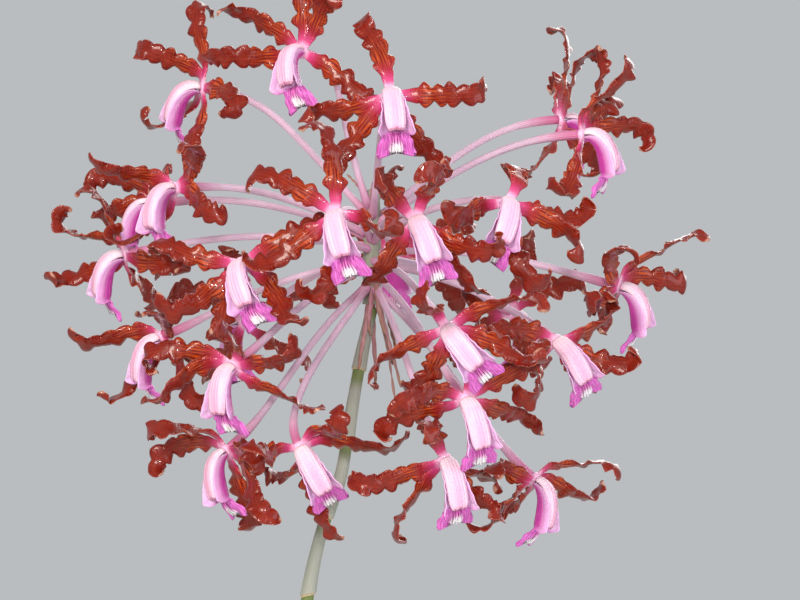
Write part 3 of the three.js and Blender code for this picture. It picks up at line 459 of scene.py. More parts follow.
# %% [markdown]
# ## The finishes of bark and pot
# Bark is split wood, dull and rough, in thin layers. The pot is fired unglazed clay, dusty with lime
# where water has dried. Both get their look from noise at several sizes, as the real ones do from wear.

# %% Bark and clay finishes
def split_bark(tree):
    """Fir bark, split and dried: the eye sees dull dark and red-brown chips with flat layers, which are
    noise squeezed four times in height."""
    tone = add(tree, "Attribute", {}, "Fac", attribute_name="tone")
    spot = add(tree, "TexCoord", {}, "Object")
    layered = add(tree, "Mapping", {"Vector": spot, "Scale": (1.0, 1.0, 4.0)})
    cloud, layers, flakes = (
        add(tree, "TexNoise", {**NOISE, "Vector": vector, "Scale": 1 / (size * MM), "Detail": detail})
        for vector, size, detail in ((spot, 5.0, 5.0), (layered, 3.0, 3.0), (layered, 1.6, 5.0)))
    return {
        "Base Color": coats(tree, "#33200F", (cloud, "#7B5230", 1.0), (tone, "#6A4A33", 0.6),
                            (layers, "#2A1A0E", 0.5)),
        "Normal": add(tree, "Bump", {"Height": flakes, "Distance": 0.9 * MM, "Strength": 0.9}),
        "Roughness": 0.88,
    }


def fired_clay(tree):
    """Terracotta, pressed and fired: the eye sees dry orange clay with turning rings, damp patches and
    white lime on its lower part, which fades out between heights of 10 and 105 mm."""
    spot = add(tree, "TexCoord", {}, "Object")
    height = add(tree, "SeparateXYZ", {0: spot}, "Z")
    turned = add(tree, "Mapping", {"Vector": spot, "Scale": (0.03, 0.03, 1.0)})
    cloud, dark, crust, damp, grit, rings = (
        add(tree, "TexNoise", {"Vector": vector, "Scale": 1 / (size * MM), "Detail": detail,
                               "Roughness": rough})
        for vector, size, detail, rough in (
            (spot, 25.0, 6.0, 0.55), (spot, 2.0, 4.0, 0.55), (spot, 18.0, 7.0, 0.7),
            (spot, 30.0, 5.0, 0.55), (spot, 1.1, 4.0, 0.7), (turned, 2.4, 2.0, 0.55)))
    crust, low = (add(tree, "MapRange", {"Value": source, "From Min": none, "From Max": full},
                      interpolation_type="SMOOTHSTEP")
                  for source, none, full in ((crust, 0.48, 0.66), (height, 105 * MM, 10 * MM)))
    lime = add(tree, "Math", {0: crust, 1: low}, operation="MULTIPLY")
    ridges = add(tree, "Math", {0: rings, 1: 0.8, 2: grit}, operation="MULTIPLY_ADD")
    return {
        "Base Color": coats(tree, "#A85632", (cloud, "#C47A50", 1.0), (dark, "#8E4A2E", 0.3),
                            (lime, "#DCCBB8", 0.65), (damp, "#7C4A33", 0.35, 0.45, 0.7)),
        "Normal": add(tree, "Bump", {"Height": ridges, "Distance": 0.35 * MM, "Strength": 0.6}),
        "Roughness": 0.86,
    }


SPLIT_BARK = make_finish("fir_bark_split_and_dried", split_bark)
FIRED_CLAY = make_finish("terracotta_pressed_and_fired", fired_clay)
print("finishes:", len(bpy.data.materials))

# %% [markdown]
# ## Where the blooms stand
# The flower head is a ball of stalked blooms round a short hub. What can be read off its front is where
# each receptacle is, how far sideways its column ends, and where the tips of its tepals lie, so the list
# below holds just that, in millimetres. The CAD model was made from the same list and the same rules.
# Angles could be guessed instead, but a foreshortened bloom makes that hard, and rules do it better.

# %% The list of blooms
HUB = np.array([16.0, 0.0, 880.0])
BLOOMS = [  # (place from the hub, how far right its column ends, tips as right and up); None is hidden
    ((-64, -5, 63), -11, ((0, 27), (11, -11), (0, -27), (-23, -8), (-32, 13))),
    ((-26, -25, 75), -3, ((12, 16), (24, -17), (-30, -7), (-24, 14))),
    ((7, -60, 57), 2, ((-8, 24), (33, 3), (28, -34), (-21, -27), (-44, -11))),
    ((79, -15, 45), 9, ((7, 25), (20, 23), (25, 7), (11, 15), (-12, -18))),
    ((73, 27, 53), None, ((-2, 15), (15, 16), (-13, -19))),
    ((-72, -38, 24), -6, ((5, 11), (17, -9), (-34, -11), (-43, 4), (-9, 8))),
    ((-84, 14, 20), -7, ((-21, -12), (-45, -6), (-25, 8))),
    ((-93, -9, 0), -8, ((20, -6), (2, -14), (-28, -8), (-27, 9), (-7, 11))),
    ((-12, -86, 13), 3, ((15, -2), (-8, -30), (-33, -17), (-30, 11))),
    ((16, -86, 11), 6, ((3, 13), (40, -10), (20, -21), (-15, -20), (-16, 4))),
    ((49, -60, 18), -3, ((7, 7), (27, -4), (36, -16), (20, -37), (-15, -15))),
    ((-46, -68, -4), 3, ((30, 14), (22, -2), (-10, -24), (-33, -15), (-28, 5))),
    ((93, -6, -12), 8, ((2, 8), (29, 18), (24, 4), (-4, -15), (-10, 0))),
    ((-79, -15, -31), -6, ((0, 6), (12, -2), (-23, -21), (-41, 8))),
    ((-50, -55, -41), -3, ((7, 21), (27, -14), (-31, -13), (-27, 11))),
    ((27, -82, -27), 10, ((0, 14), (30, 5), (35, -8), (-13, -20), (-26, -19))),
    ((68, -40, -32), 9, ((19, 11), (38, 1), (17, -8), (-14, -17), (-23, -2))),
    ((34, -62, -53), 5, ((22, -9), (-30, -14), (-22, -2))),
    ((-54, -25, -73), -1, ((13, -7), (14, -17), (6, -27), (-27, -8), (-36, 9))),
    ((-26, -45, -71), 8, ((14, 11), (32, 2), (6, -29), (-10, -12), (-20, -6))),
    ((27, -48, -75), 4, ((0, 11), (17, -11), (13, -30), (-17, -27), (-29, -13))),
    ((61, -15, -84), 2, ((30, 2), (24, -5), (-10, -12), (-13, 4))),
    ((8, 84, 3), None, ()),
    ((-52, 66, -26), None, ()),
    ((55, 64, -22), None, ()),
]


def nod_of(at):
    """The nod in degrees: 12 at the hub's height, 0.3 less with each mm above it, from -6 to 40."""
    return min(max(12 - 0.3 * at[2], -6), 40)


print("blooms:", len(BLOOMS), "nods:", sorted({round(nod_of(b[0])) for b in BLOOMS}))

# %% [markdown]
# ## How a column hangs, and which way its bloom looks
# The column of a bloom hangs along a spine that turns from forwards to downwards. A bloom looks outwards
# from the hub. From there it is turned back to the viewer in steps of 10 degrees, until a roll of at most
# 25 degrees is enough to swing the column's end to where it shows.

# %% Spines and frames
RECEPTACLE_THICKNESS, SEAT_GAP = 2.6, 0.3
LIP_LENGTH, COLUMN_LENGTH, LIP_HANG, LIP_TURN = 26, 18.5, 85, 2.5


def lip_spine(nod, count=52):
    """The spine of column and lip in the bloom's frame: its direction turns from forwards by
    end (1 - (1 - u)^2.5), where u is the share of the column's length and end is 85 degrees less 0.6 nods.
    Returns the distances, the points and the dorsal directions, which stand square on it."""
    distance = np.arange(count + 1) * LIP_LENGTH / count
    u = np.minimum(distance / COLUMN_LENGTH, 1)
    angle = np.radians(LIP_HANG - 0.6 * nod) * (1 - (1 - u) ** LIP_TURN)
    step = np.stack([0 * angle, -np.cos(angle), -np.sin(angle)], 1) * (LIP_LENGTH / count)
    start = np.array([0, -(RECEPTACLE_THICKNESS / 2 + SEAT_GAP), 0])
    points = start + np.vstack([np.zeros(3), np.cumsum(step[:-1], axis=0)])
    return distance, points, np.stack([0 * angle, -np.sin(angle), np.cos(angle)], 1)


def facing_of(at, column):
    """The facing and the roll in degrees. A column that reaches forwards by f and drops by d ends
    f sin(facing) + d sin(roll) cos(facing) to the right, which is solved for the roll. In profile the
    roll has little effect, so the cosine counts as 0.5 at least."""
    nod, outward = np.radians(nod_of(at)), np.degrees(np.arctan2(at[0], -at[1]))
    if column is None:
        return outward, 0.0
    distance, points, _ = lip_spine(nod_of(at))
    hang = points[round(COLUMN_LENGTH / distance[1])] - points[0]
    forwards = -hang[1] * np.cos(nod) + hang[2] * np.sin(nod)
    best = None
    for turned in (0, 10, 20, 30, 40, 50):
        face = 0.85 * outward - np.sign(outward) * turned
        swing = column - forwards * np.sin(np.radians(face))
        lever = -hang[2] * max(np.cos(np.radians(face)), 0.5)
        roll = np.degrees(np.arcsin(np.clip(swing / lever, -1, 1)))
        if best is None or abs(roll) < abs(best[1]):
            best = face, roll
        if abs(roll) <= 25:
            break
    return best


def bloom_frame(at, column, tips):
    """The bloom's rotation, a turn about z by its facing, then about x by its nod, then about y by minus
    its roll, and its place. In its own frame a bloom looks along -y, with its top along z."""
    face, roll = facing_of(at, column)
    (cz, cx, cy), (sz, sx, sy) = (f(np.radians([face, nod_of(at), -roll])) for f in (np.cos, np.sin))
    about_z = np.array([[cz, -sz, 0], [sz, cz, 0], [0, 0, 1]])
    about_x = np.array([[1, 0, 0], [0, cx, -sx], [0, sx, cx]])
    about_y = np.array([[cy, 0, sy], [0, 1, 0], [-sy, 0, cy]])
    return about_z @ about_x @ about_y, HUB + np.array(at, float)


FRAMES = [bloom_frame(*bloom) for bloom in BLOOMS]
print("facings and rolls:", [tuple(round(v) for v in facing_of(at, column)) for at, column, _ in BLOOMS])

# %% [markdown]
# ## The lines that everything follows
# The flower stalk is a smooth curve through a few points, and each pedicel is a curve with four control
# points. These lines are worked out first, because the tepals have to keep clear of them.

# %% Stalk and pedicels
SCAPE_BELOW_HUB = [
    (0, 0, -20), (-4, 2, -38), (-8.5, 4, -63), (-12, 6, -84), (-18, 8, -101), (-24, 10, -126),
    (-30, 13, -180), (-33, 16, -260), (-28, 18, -360),
]
SCAPE_FOOT = np.array([16.0, 17.0, 311.6])
SCAPE_ABOVE_FOOT = [(-6, 4, 110), (0, 1, 40), (0, 0, 0)]
RACHIS_LOW, RACHIS_LENGTH = -19, 44


def through(points, t):
    """A centripetal Catmull-Rom curve through points, at parameters t from 0 to 1. Between two points it
    is a cubic whose end slopes are set by the square roots of the distances to the neighbours."""
    p = np.vstack([2 * points[0] - points[1], points, 2 * points[-1] - points[-2]])
    s = np.asarray(t) * (len(points) - 1)
    i = np.minimum(s.astype(int), len(points) - 2)
    w = (s - i)[:, None]
    a, b, c, d = p[i], p[i + 1], p[i + 2], p[i + 3]
    da, db, dc = (np.linalg.norm(v, axis=1)[:, None] ** 0.5 for v in (b - a, c - b, d - c))
    slope_b = ((b - a) / da - (c - a) / (da + db) + (c - b) / db) * db
    slope_c = ((c - b) / db - (d - b) / (db + dc) + (d - c) / dc) * db
    cubic = 2 * b - 2 * c + slope_b + slope_c
    square = -3 * b + 3 * c - 2 * slope_b - slope_c
    return b + slope_b * w + square * w ** 2 + cubic * w ** 3


def by_length(points, shares, steps=200):
    """Points of the same curve at shares of its length, found on a chain of short chords."""
    t = np.linspace(0, 1, steps + 1)
    chords = np.linalg.norm(np.diff(through(points, t), axis=0), axis=1)
    reached = np.concatenate([[0], np.cumsum(chords)])
    return through(points, np.interp(np.asarray(shares) * reached[-1], reached, t))


SCAPE_POINTS = np.vstack([HUB + np.array(SCAPE_BELOW_HUB), SCAPE_FOOT + np.array(SCAPE_ABOVE_FOOT)])


def pedicel_points(at, rotation, place):
    """The four control points of a pedicel: on the rachis, 38 mm out and 9 mm up, 26 mm behind the
    bloom, and the back of its receptacle."""
    level = min(max(at[2] * 0.2 + 3, RACHIS_LOW + 4), RACHIS_LOW + RACHIS_LENGTH - 4)
    start = HUB + np.array([0, 0, level])
    end = rotation @ np.array([0, RECEPTACLE_THICKNESS / 2 + SEAT_GAP, 0]) + place
    back = rotation @ np.array([0, 1.0, 0])
    out = (end - start) / np.linalg.norm(end - start)
    flat = np.array([out[0], out[1], 0])
    start = start + 1.8 * flat / np.linalg.norm(flat)
    return np.array([start, start + 38 * out + np.array([0, 0, 9]), end + 26 * back, end])


def bezier(control, t):
    """A cubic curve: its control points weighted by (1-t)^3, 3(1-t)^2 t, 3(1-t) t^2 and t^3."""
    t = np.asarray(t)[:, None]
    return ((1 - t) ** 3 * control[0] + 3 * (1 - t) ** 2 * t * control[1]
            + 3 * (1 - t) * t ** 2 * control[2] + t ** 3 * control[3])


PEDICELS = [pedicel_points(bloom[0], *placing) for bloom, placing in zip(BLOOMS, FRAMES)]
print("pedicels:", len(PEDICELS), "stalk from", SCAPE_POINTS[0], "to", SCAPE_POINTS[-1])

# %% [markdown]
# ## How a tepal finds its place
# Every tepal starts in the flower's centre and then bends, curls and twists by amounts that are drawn at
# random from a fixed seed. The angles at its root are corrected until its tip lies where it shows. With
# 125 of them in one ball, some would pass through others. So for each tepal many small changes of lean,
# clock angle and sideways bend are tried, from the least change upwards, and the first one that keeps
# clear of everything placed before it is kept, or else the least crowded one. All trials of one tepal are
# worked out at once. The CAD model has found the same places.

# %% Tepal midlines
STATIONS = 40
TEPAL_ROOT = 1.5
TRIALS = np.array([(lean, clock, sway) for lean in (0, 18, -18, 36, -36, 54, -54)
                   for clock in (0, 9, -9, 18, -18) for sway in (0, 25, -25)], float)


def seeded_draws(seed):
    """Numbers from 0 to 1: each state is 16807 times the last one, modulo 2147483647."""
    while True:
        seed = seed * 16807 % 2147483647
        yield seed / 2147483647


def midlines(clock, lean, bend, curl, sway, hook, twist, length):
    """Midlines of tepals, one for each entry of the arrays clock, lean and sway. Along, face and side are
    three square vectors. At each of 40 short steps along and face turn towards each other by the lean,
    the bend and the curl, along and side by the sway and the hook, and face and side by the twist, and
    the point moves on along. Curl and hook grow from 0 at 0.55 of the length to the tip. Returns points,
    faces and sides, each tepals x 41 x 3."""
    def turn(a, b, degrees):
        """Two square vectors turned towards each other: c a + s b and c b - s a."""
        c, s = np.cos(np.radians(degrees))[:, None], np.sin(np.radians(degrees))[:, None]
        return c * a + s * b, c * b - s * a

    clock = np.radians(clock)
    along = np.stack([np.sin(clock), 0 * clock, np.cos(clock)], 1)
    face = np.broadcast_to([0.0, -1.0, 0.0], along.shape)
    side = np.cross(along, face)
    point = along * TEPAL_ROOT
    found = []
    for i in range(STATIONS + 1):
        found.append((point, face, side))
        u = (i + 0.5) / STATIONS
        leaning = lean / 0.24 if 0.06 < u < 0.3 else 0 * lean
        tip = 2 * (u - 0.55) / 0.45 ** 2 if u > 0.55 else 0
        along, face = turn(along, face, (leaning + bend + curl * tip) / STATIONS)
        along, side = turn(along, side, (sway + hook * tip) / STATIONS)
        face, side = turn(face, side, np.full(len(clock), twist / STATIONS if u > 0.15 else 0.0))
        point = point + along * length / STATIONS
    return (np.stack(part, 1) for part in zip(*found))


def direction_of(x, y, z):
    """The clock angle from the top and the forward lean, in degrees, of a line in the bloom's frame."""
    return np.degrees(np.arctan2(x, z)), np.degrees(np.arctan2(-y, np.hypot(x, z)))


def tip_directions(tips, rotation):
    """Clock angles and leans of a bloom's five tips. A tip that shows x to the right and z up lies at a
    depth of the root of 30^2 - x^2 - z^2, before or behind, whichever is nearer to the bloom's plane.
    Tepals that don't show take the regular clock angles with the most room, and neighbours that are
    closer than 34 degrees are spread by half of what is lacking, eight times over."""
    found = []
    for x, z in tips:
        depth = np.sqrt(max(30 ** 2 - x * x - z * z, 0))
        line = min((np.array([x, y, z]) @ rotation for y in (depth, -depth)), key=lambda p: abs(p[1]))
        clock, lean = direction_of(*line)
        found.append([clock % 360, lean])
    while len(found) < 5:
        room = lambda clock: min([abs((clock - other + 180) % 360 - 180) for other, _ in found] + [180])
        found.append([max((0, 72, 132, 228, 288), key=room), 0.0])
    for _ in range(8):
        found.sort(key=lambda tip: tip[0])
        for tip, after in zip(found, found[1:] + found[:1]):
            lack = max(34 - (after[0] - tip[0]) % 360, 0) / 2
            tip[0] -= lack
            after[0] += lack
    return found


def aim_tepal(direction, bend, curl, sway, hook, twist, length):
    """The clock angle and lean at the root that bring point 36 of the midline to its direction. Five times
    over, they are changed by what the direction is off, the clock by 45 degrees at most, and the lean
    stays within 75 degrees."""
    clock, lean = direction
    for _ in range(5):
        points, *_ = midlines(*(np.array([v]) for v in (clock, lean)), bend, curl, np.array([sway]), hook,
                              twist, length)
        tip_clock, tip_lean = direction_of(*points[0, 36])
        clock += np.clip((direction[0] - tip_clock + 180) % 360 - 180, -45, 45)
        lean = np.clip(lean + direction[1] - tip_lean, -75, 75)
    return clock, lean


def settle(direction, draw, rotation, place, guards, reaches):
    """Draws one tepal, aims it and tries the changes. The crowding of a trial is the sum, over its guard
    points and everything near them, of how far each distance falls short of the room asked for."""
    bend = 80 * (next(draw) - 0.5)
    curl = -1 if next(draw) < 0.6 else 1
    curl *= 60 + 130 * next(draw)
    sway = 90 * (next(draw) - 0.5)
    hook = -1 if next(draw) < 0.5 else 1
    hook *= 30 + 100 * next(draw)
    twist = -1 if next(draw) < 0.5 else 1
    twist *= 30 + 100 * next(draw)
    length = TEPAL_MM * (0.94 + 0.12 * next(draw))
    right_wave = -1 if next(draw) < 0.25 else 1
    clock, lean = aim_tepal(direction, bend, curl, sway, hook, twist, length)
    leans, clocks, sways = lean + TRIALS[:, 0], clock + TRIALS[:, 1], sway + TRIALS[:, 2]
    points, faces, sides = midlines(clocks, leans, bend, curl, sways, hook, twist, length)
    guard = points[:, 10::3] @ rotation.T + place
    away = np.linalg.norm(guard[:, :, None, :] - guards[None, None], axis=-1)
    crowds = np.maximum(reaches - away, 0).sum(axis=(1, 2))
    best, least = 0, np.inf
    for k, crowd in enumerate(crowds):
        if crowd < least - 1e-6:
            best, least = k, crowd
        if crowd == 0:
            break
    return points[best], faces[best], sides[best], right_wave, guard[best]


def settle_all():
    """Places the tepals bloom by bloom. Lips, pedicels and the stalk guard their room from the start, and
    each finished bloom's tepals from then on."""
    points, reaches = [], []
    for bloom, (rotation, place), pedicel in zip(BLOOMS, FRAMES, PEDICELS):
        distance, spine, dorsal = lip_spine(nod_of(bloom[0]))
        at = np.rint(np.arange(6, LIP_LENGTH + 1, 4) / distance[1]).astype(int)
        points += [(spine[at] + 0.5 * dorsal[at]) @ rotation.T + place, bezier(pedicel, np.arange(23) / 24)]
        reaches += [np.full(len(at), 10.0), np.full(23, 5.2)]
    points.append(by_length(SCAPE_POINTS, np.arange(31) / 100))
    reaches.append(np.full(31, 7.0))
    settled = []
    for i, (bloom, (rotation, place)) in enumerate(zip(BLOOMS, FRAMES)):
        draw = seeded_draws(1000 + 37 * i)
        guards, limits = np.concatenate(points), np.concatenate(reaches)
        tepals = [settle(direction, draw, rotation, place, guards, limits)
                  for direction in tip_directions(bloom[2], rotation)]
        settled.append(tepals)
        points += [tepal[4] for tepal in tepals]
        reaches += [np.full(len(tepal[4]), 6.4) for tepal in tepals]
    return settled


SETTLED = settle_all()
print("tepals placed:", sum(len(tepals) for tepals in SETTLED))

# %% [markdown]
# ## Tepals with crisped margins
# A tepal is a fleshy strap, thickest along its middle, with margins that are longer than the blade has
# room for, so they buckle into waves. It could be sculpted, but the buckling is regular enough for a
# formula: a long wave that both margins share with the CAD solid, shorter ripples on each margin, and
# small teeth at the very rim, all growing from the smooth root. The blade is closed all round, with a
# front and a back.

# %% Tepal surfaces
ROWS, FRONT = 81, 10


def finer(values):
    """Puts a point between each two, by weights -1, 9, 9, -1 over 16 of its four neighbours."""
    p = np.vstack([2 * values[:1] - values[1:2], values, 2 * values[-1:] - values[-2:-1]])
    middle = (9 * (p[1:-2] + p[2:-1]) - p[:-3] - p[3:]) / 16
    out = np.empty((2 * len(values) - 1, 3))
    out[0::2], out[1::2] = values, middle
    return out


def resampled(values, rows):
    """Rows evenly spaced along a refined line."""
    values = finer(finer(values))
    t = np.linspace(0, len(values) - 1, rows)
    return np.stack([np.interp(t, np.arange(len(values)), values[:, k]) for k in range(3)], 1)


def unit(vectors):
    """Each vector divided by its length, the square root of the sum of its squares."""
    return vectors / np.linalg.norm(vectors, axis=-1, keepdims=True)


def tepal_surface(point, face, side, right_wave, seed):
    """The blade between its midline and its margins. Across, v runs from -1 to 1 over the front and back
    again, and m = |v|. Half its width opens from 1.7 to 3.65 mm and ends in a half circle. The section is
    bent to an arc of the angle roll on either side, so that its margins turn back. Square to the arc, a
    point is moved by half the thickness, 0.62 (1 - 0.3 u) sqrt(1 - m^4), by the long wave cos(8 pi u)
    m^1.5, by round lobes 2 |sin|^0.7 - 1 of 4.8 to 6.2 mm with m^1.7, and by teeth of 2.5 mm with m^4."""
    draws = np.random.default_rng(seed)
    point, face, side = (resampled(v, ROWS) for v in (point, face, side))
    side = unit(side)
    face = unit(face - (face * side).sum(1)[:, None] * side)
    u = np.linspace(0, 1, ROWS)[:, None]
    front = -np.cos(np.pi * np.arange(FRONT) / (FRONT - 1))
    v = np.concatenate([front, front[-2:0:-1]])[None, :]
    is_front = np.concatenate([np.ones(FRONT), -np.ones(FRONT - 2)])[None, :]
    left, m = v < 0, np.abs(v)
    phase = draws.uniform(0, 2 * np.pi, 6)
    roll_low, roll_high = draws.uniform(0.45, 0.9), draws.uniform(-0.7, 0.9)
    length = draws.uniform(4.8, 6.2, 2)
    opening = 1.7 + 1.95 * ease(u, 0, 0.32)
    half = opening + (2.5 - opening) * ease(u, 0.8, 0.98)
    half = half * np.sqrt(np.clip(1 - (np.clip(u - 0.93, 0, 1) / 0.0705) ** 2, 0.01, 1))
    grown = ease(u, 0.05, 0.3) * (1 - 0.4 * ease(u, 0.88, 1))
    uneven = 0.72 + 0.28 * np.sin(2 * np.pi * u * 1.7 + np.where(left, phase[4], phase[5]))
    long_wave = np.cos(8 * np.pi * u) * np.where(left, 1, right_wave)
    turns = np.pi * u * TEPAL_MM / np.where(left, length[0], length[1]) + np.where(left, phase[0], phase[1])
    short = 2 * np.abs(np.sin(turns)) ** 0.7 - 1
    tiny = np.sin(2 * np.pi * u * TEPAL_MM / np.where(left, 2.5, 2.8) + np.where(left, phase[2], phase[3]))
    lift = grown * (1.0 * long_wave * m ** 1.5 + 1.2 * uneven * short * m ** 1.7 + 0.12 * tiny * m ** 4)
    thick = 0.62 * (1 - 0.3 * u) * np.sqrt(np.clip(1 - m ** 4, 0, 1))
    groove = np.exp(-(v / 0.16) ** 2) * ease(u, 0.03, 0.15) * np.where(is_front > 0, -0.3, 0.3)
    lift = lift + is_front * (thick + groove)
    roll = (roll_low + (roll_high - roll_low) * ease(u, 0.45, 0.95)) * ease(u, 0.02, 0.2)
    roll = np.where(np.abs(roll) < 0.02, 0.02, roll)
    reach = half * (1 + 0.14 * grown * m ** 2 * short) / roll
    over, out = reach * np.sin(v * roll), reach * (np.cos(v * roll) - 1)
    over, out = over + lift * np.sin(v * roll), out + lift * np.cos(v * roll)
    rings = point[:, None] + side[:, None] * over[..., None] + face[:, None] * out[..., None]
    sides = np.concatenate([np.broadcast_to(is_front, (ROWS, v.shape[1])).ravel(), [1, 1]])
    return loft(rings, u, v), sides


def receptacle_surface():
    """A rounded disc that joins the tepals: rings of radius r at depths y, from its back to its front."""
    depth = np.array([1.3, 1.25, 0.9, 0.3, -0.4, -1.0, -1.35, -1.5])
    radius = np.array([1.3, 1.75, 2.25, 2.5, 2.5, 2.2, 1.5, 0.6])
    angle = np.linspace(0, 2 * np.pi, 24, endpoint=False)
    rings = np.stack([radius[:, None] * np.cos(angle), np.broadcast_to(depth[:, None], (8, 24)),
                      radius[:, None] * np.sin(angle)], -1)
    return loft(rings, np.zeros((8, 1)), np.zeros((1, 24)))


def placed(body, rotation, place):
    """A body turned and moved: each point becomes its product with the rotation, plus the place."""
    return {**body, "points": body["points"] @ rotation.T + place}


def make_tepals():
    """One piece for each bloom: its receptacle and its five blades, turned and moved to its place."""
    worst = 0.0
    for i, (tepals, (rotation, place)) in enumerate(zip(SETTLED, FRAMES)):
        bodies = [(placed(receptacle_surface(), rotation, place), 0, 1)]
        for k, (point, face, side, right_wave, _) in enumerate(tepals):
            body, sides = tepal_surface(point, face, side, right_wave, 100 * i + k)
            bodies.append((placed(body, rotation, place), 0, sides))
        node = f"bloom_{i + 1:02d}_tepals"
        piece = make_piece(f"bloom_{i + 1:02d}_tepal_blades", bodies, [TEPAL_TISSUE], [node])
        points = np.concatenate([body["points"] for body, _, _ in bodies]) * MM
        low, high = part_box(node)
        worst = max(worst, np.abs(points.min(0) - low).max(), np.abs(points.max(0) - high).max())
    print("faces of one bloom's tepals:", len(piece.data.polygons))
    print("largest distance between a bloom's box and its CAD node's, in mm:", round(worst / MM, 2))


make_tepals()

# %% [markdown]
# ## The column and the lip
# In this genus the lip stands behind the column, its two side lobes rising on either side of it like the
# walls of a gutter, and then narrows to a neck and spreads into a middle lobe with keels. A sheet fits
# it: two parameters, one along the spine and one from margin to margin, with a front and a back that lie
# apart by the sheet's thickness. The column is a plain loft with a rounded back, cut off at its end with
# a small notch.

# %% Column and lip surfaces
def from_table(table, s):
    """Values at distances s from (distance, value) pairs. The broken line through the pairs is averaged
    over 1.2 mm, so that it turns smoothly."""
    known, values = np.array(table, float).T
    return sum(np.interp(s + d, known, values) for d in (-0.6, -0.3, 0, 0.3, 0.6)) / 5


def on_spine(nod, s, x, z):
    """Points that lie x to the side of the spine and z on its dorsal side, at distances s along it. Past
    its end the spine goes straight on."""
    distance, points, dorsal = lip_spine(nod)
    onward = unit(points[-1] - points[-2])
    s, x, z = np.broadcast_arrays(s, x, z)
    place = np.stack([np.interp(s, distance, points[:, k]) for k in range(3)], -1)
    place = place + np.maximum(s - distance[-1], 0)[..., None] * onward
    square = np.stack([np.interp(s, distance, dorsal[:, k]) for k in range(3)], -1)
    return place + x[..., None] * np.array([1.0, 0, 0]) + z[..., None] * square


def column_surface(nod):
    """The column: at distance s its section is an oval of half width w between a crest and a base, with
    x = w cos(a) |cos(a)|^-0.2 and a flat, hollow underside. Its end is pushed back by three notches."""
    s = np.concatenate([np.linspace(0, 16, 19), np.linspace(16.5, 18.7, 8)])[:, None]
    a = np.linspace(0, 2 * np.pi, 30, endpoint=False)[None, :] - np.pi / 2
    width = from_table([(0, 2.7), (2, 3.3), (5, 3.7), (12, 3.9), (15.5, 3.8), (17.5, 3.3), (18.9, 2.7)], s)
    crest = from_table([(0, 2.2), (3, 3.3), (6, 3.9), (12, 4.25), (16.5, 3.9), (18, 3.4), (18.9, 2.6)], s)
    base = from_table([(0, -0.6), (4, 0.2), (12, 0.8), (18.5, 1.2)], s)
    x = width * np.sign(np.cos(a)) * np.abs(np.cos(a)) ** 0.8
    middle = base + 0.3 * (crest - base)
    top = middle + (crest - middle) * np.clip(np.sin(a), 0, 1) ** 0.85
    under = middle - (middle - base) * np.clip(-np.sin(a), 0, 1) ** 0.6 + 0.5 * (np.sin(a) < -0.3)
    z = np.where(np.sin(a) >= 0, top - 0.12 * np.cos(np.pi * x / 0.8) * ease(s, 1, 5), under)
    notches = 0.9 * np.exp(-(x / 0.7) ** 2) + 0.5 * np.exp(-((np.abs(x) - 2.0) / 0.45) ** 2)
    along = s - notches * ease(s, 16.9, 18.7)
    return loft(on_spine(nod, along, x, z), s / COLUMN_LENGTH, np.where(np.sin(a) > -0.2, x / width, 1))


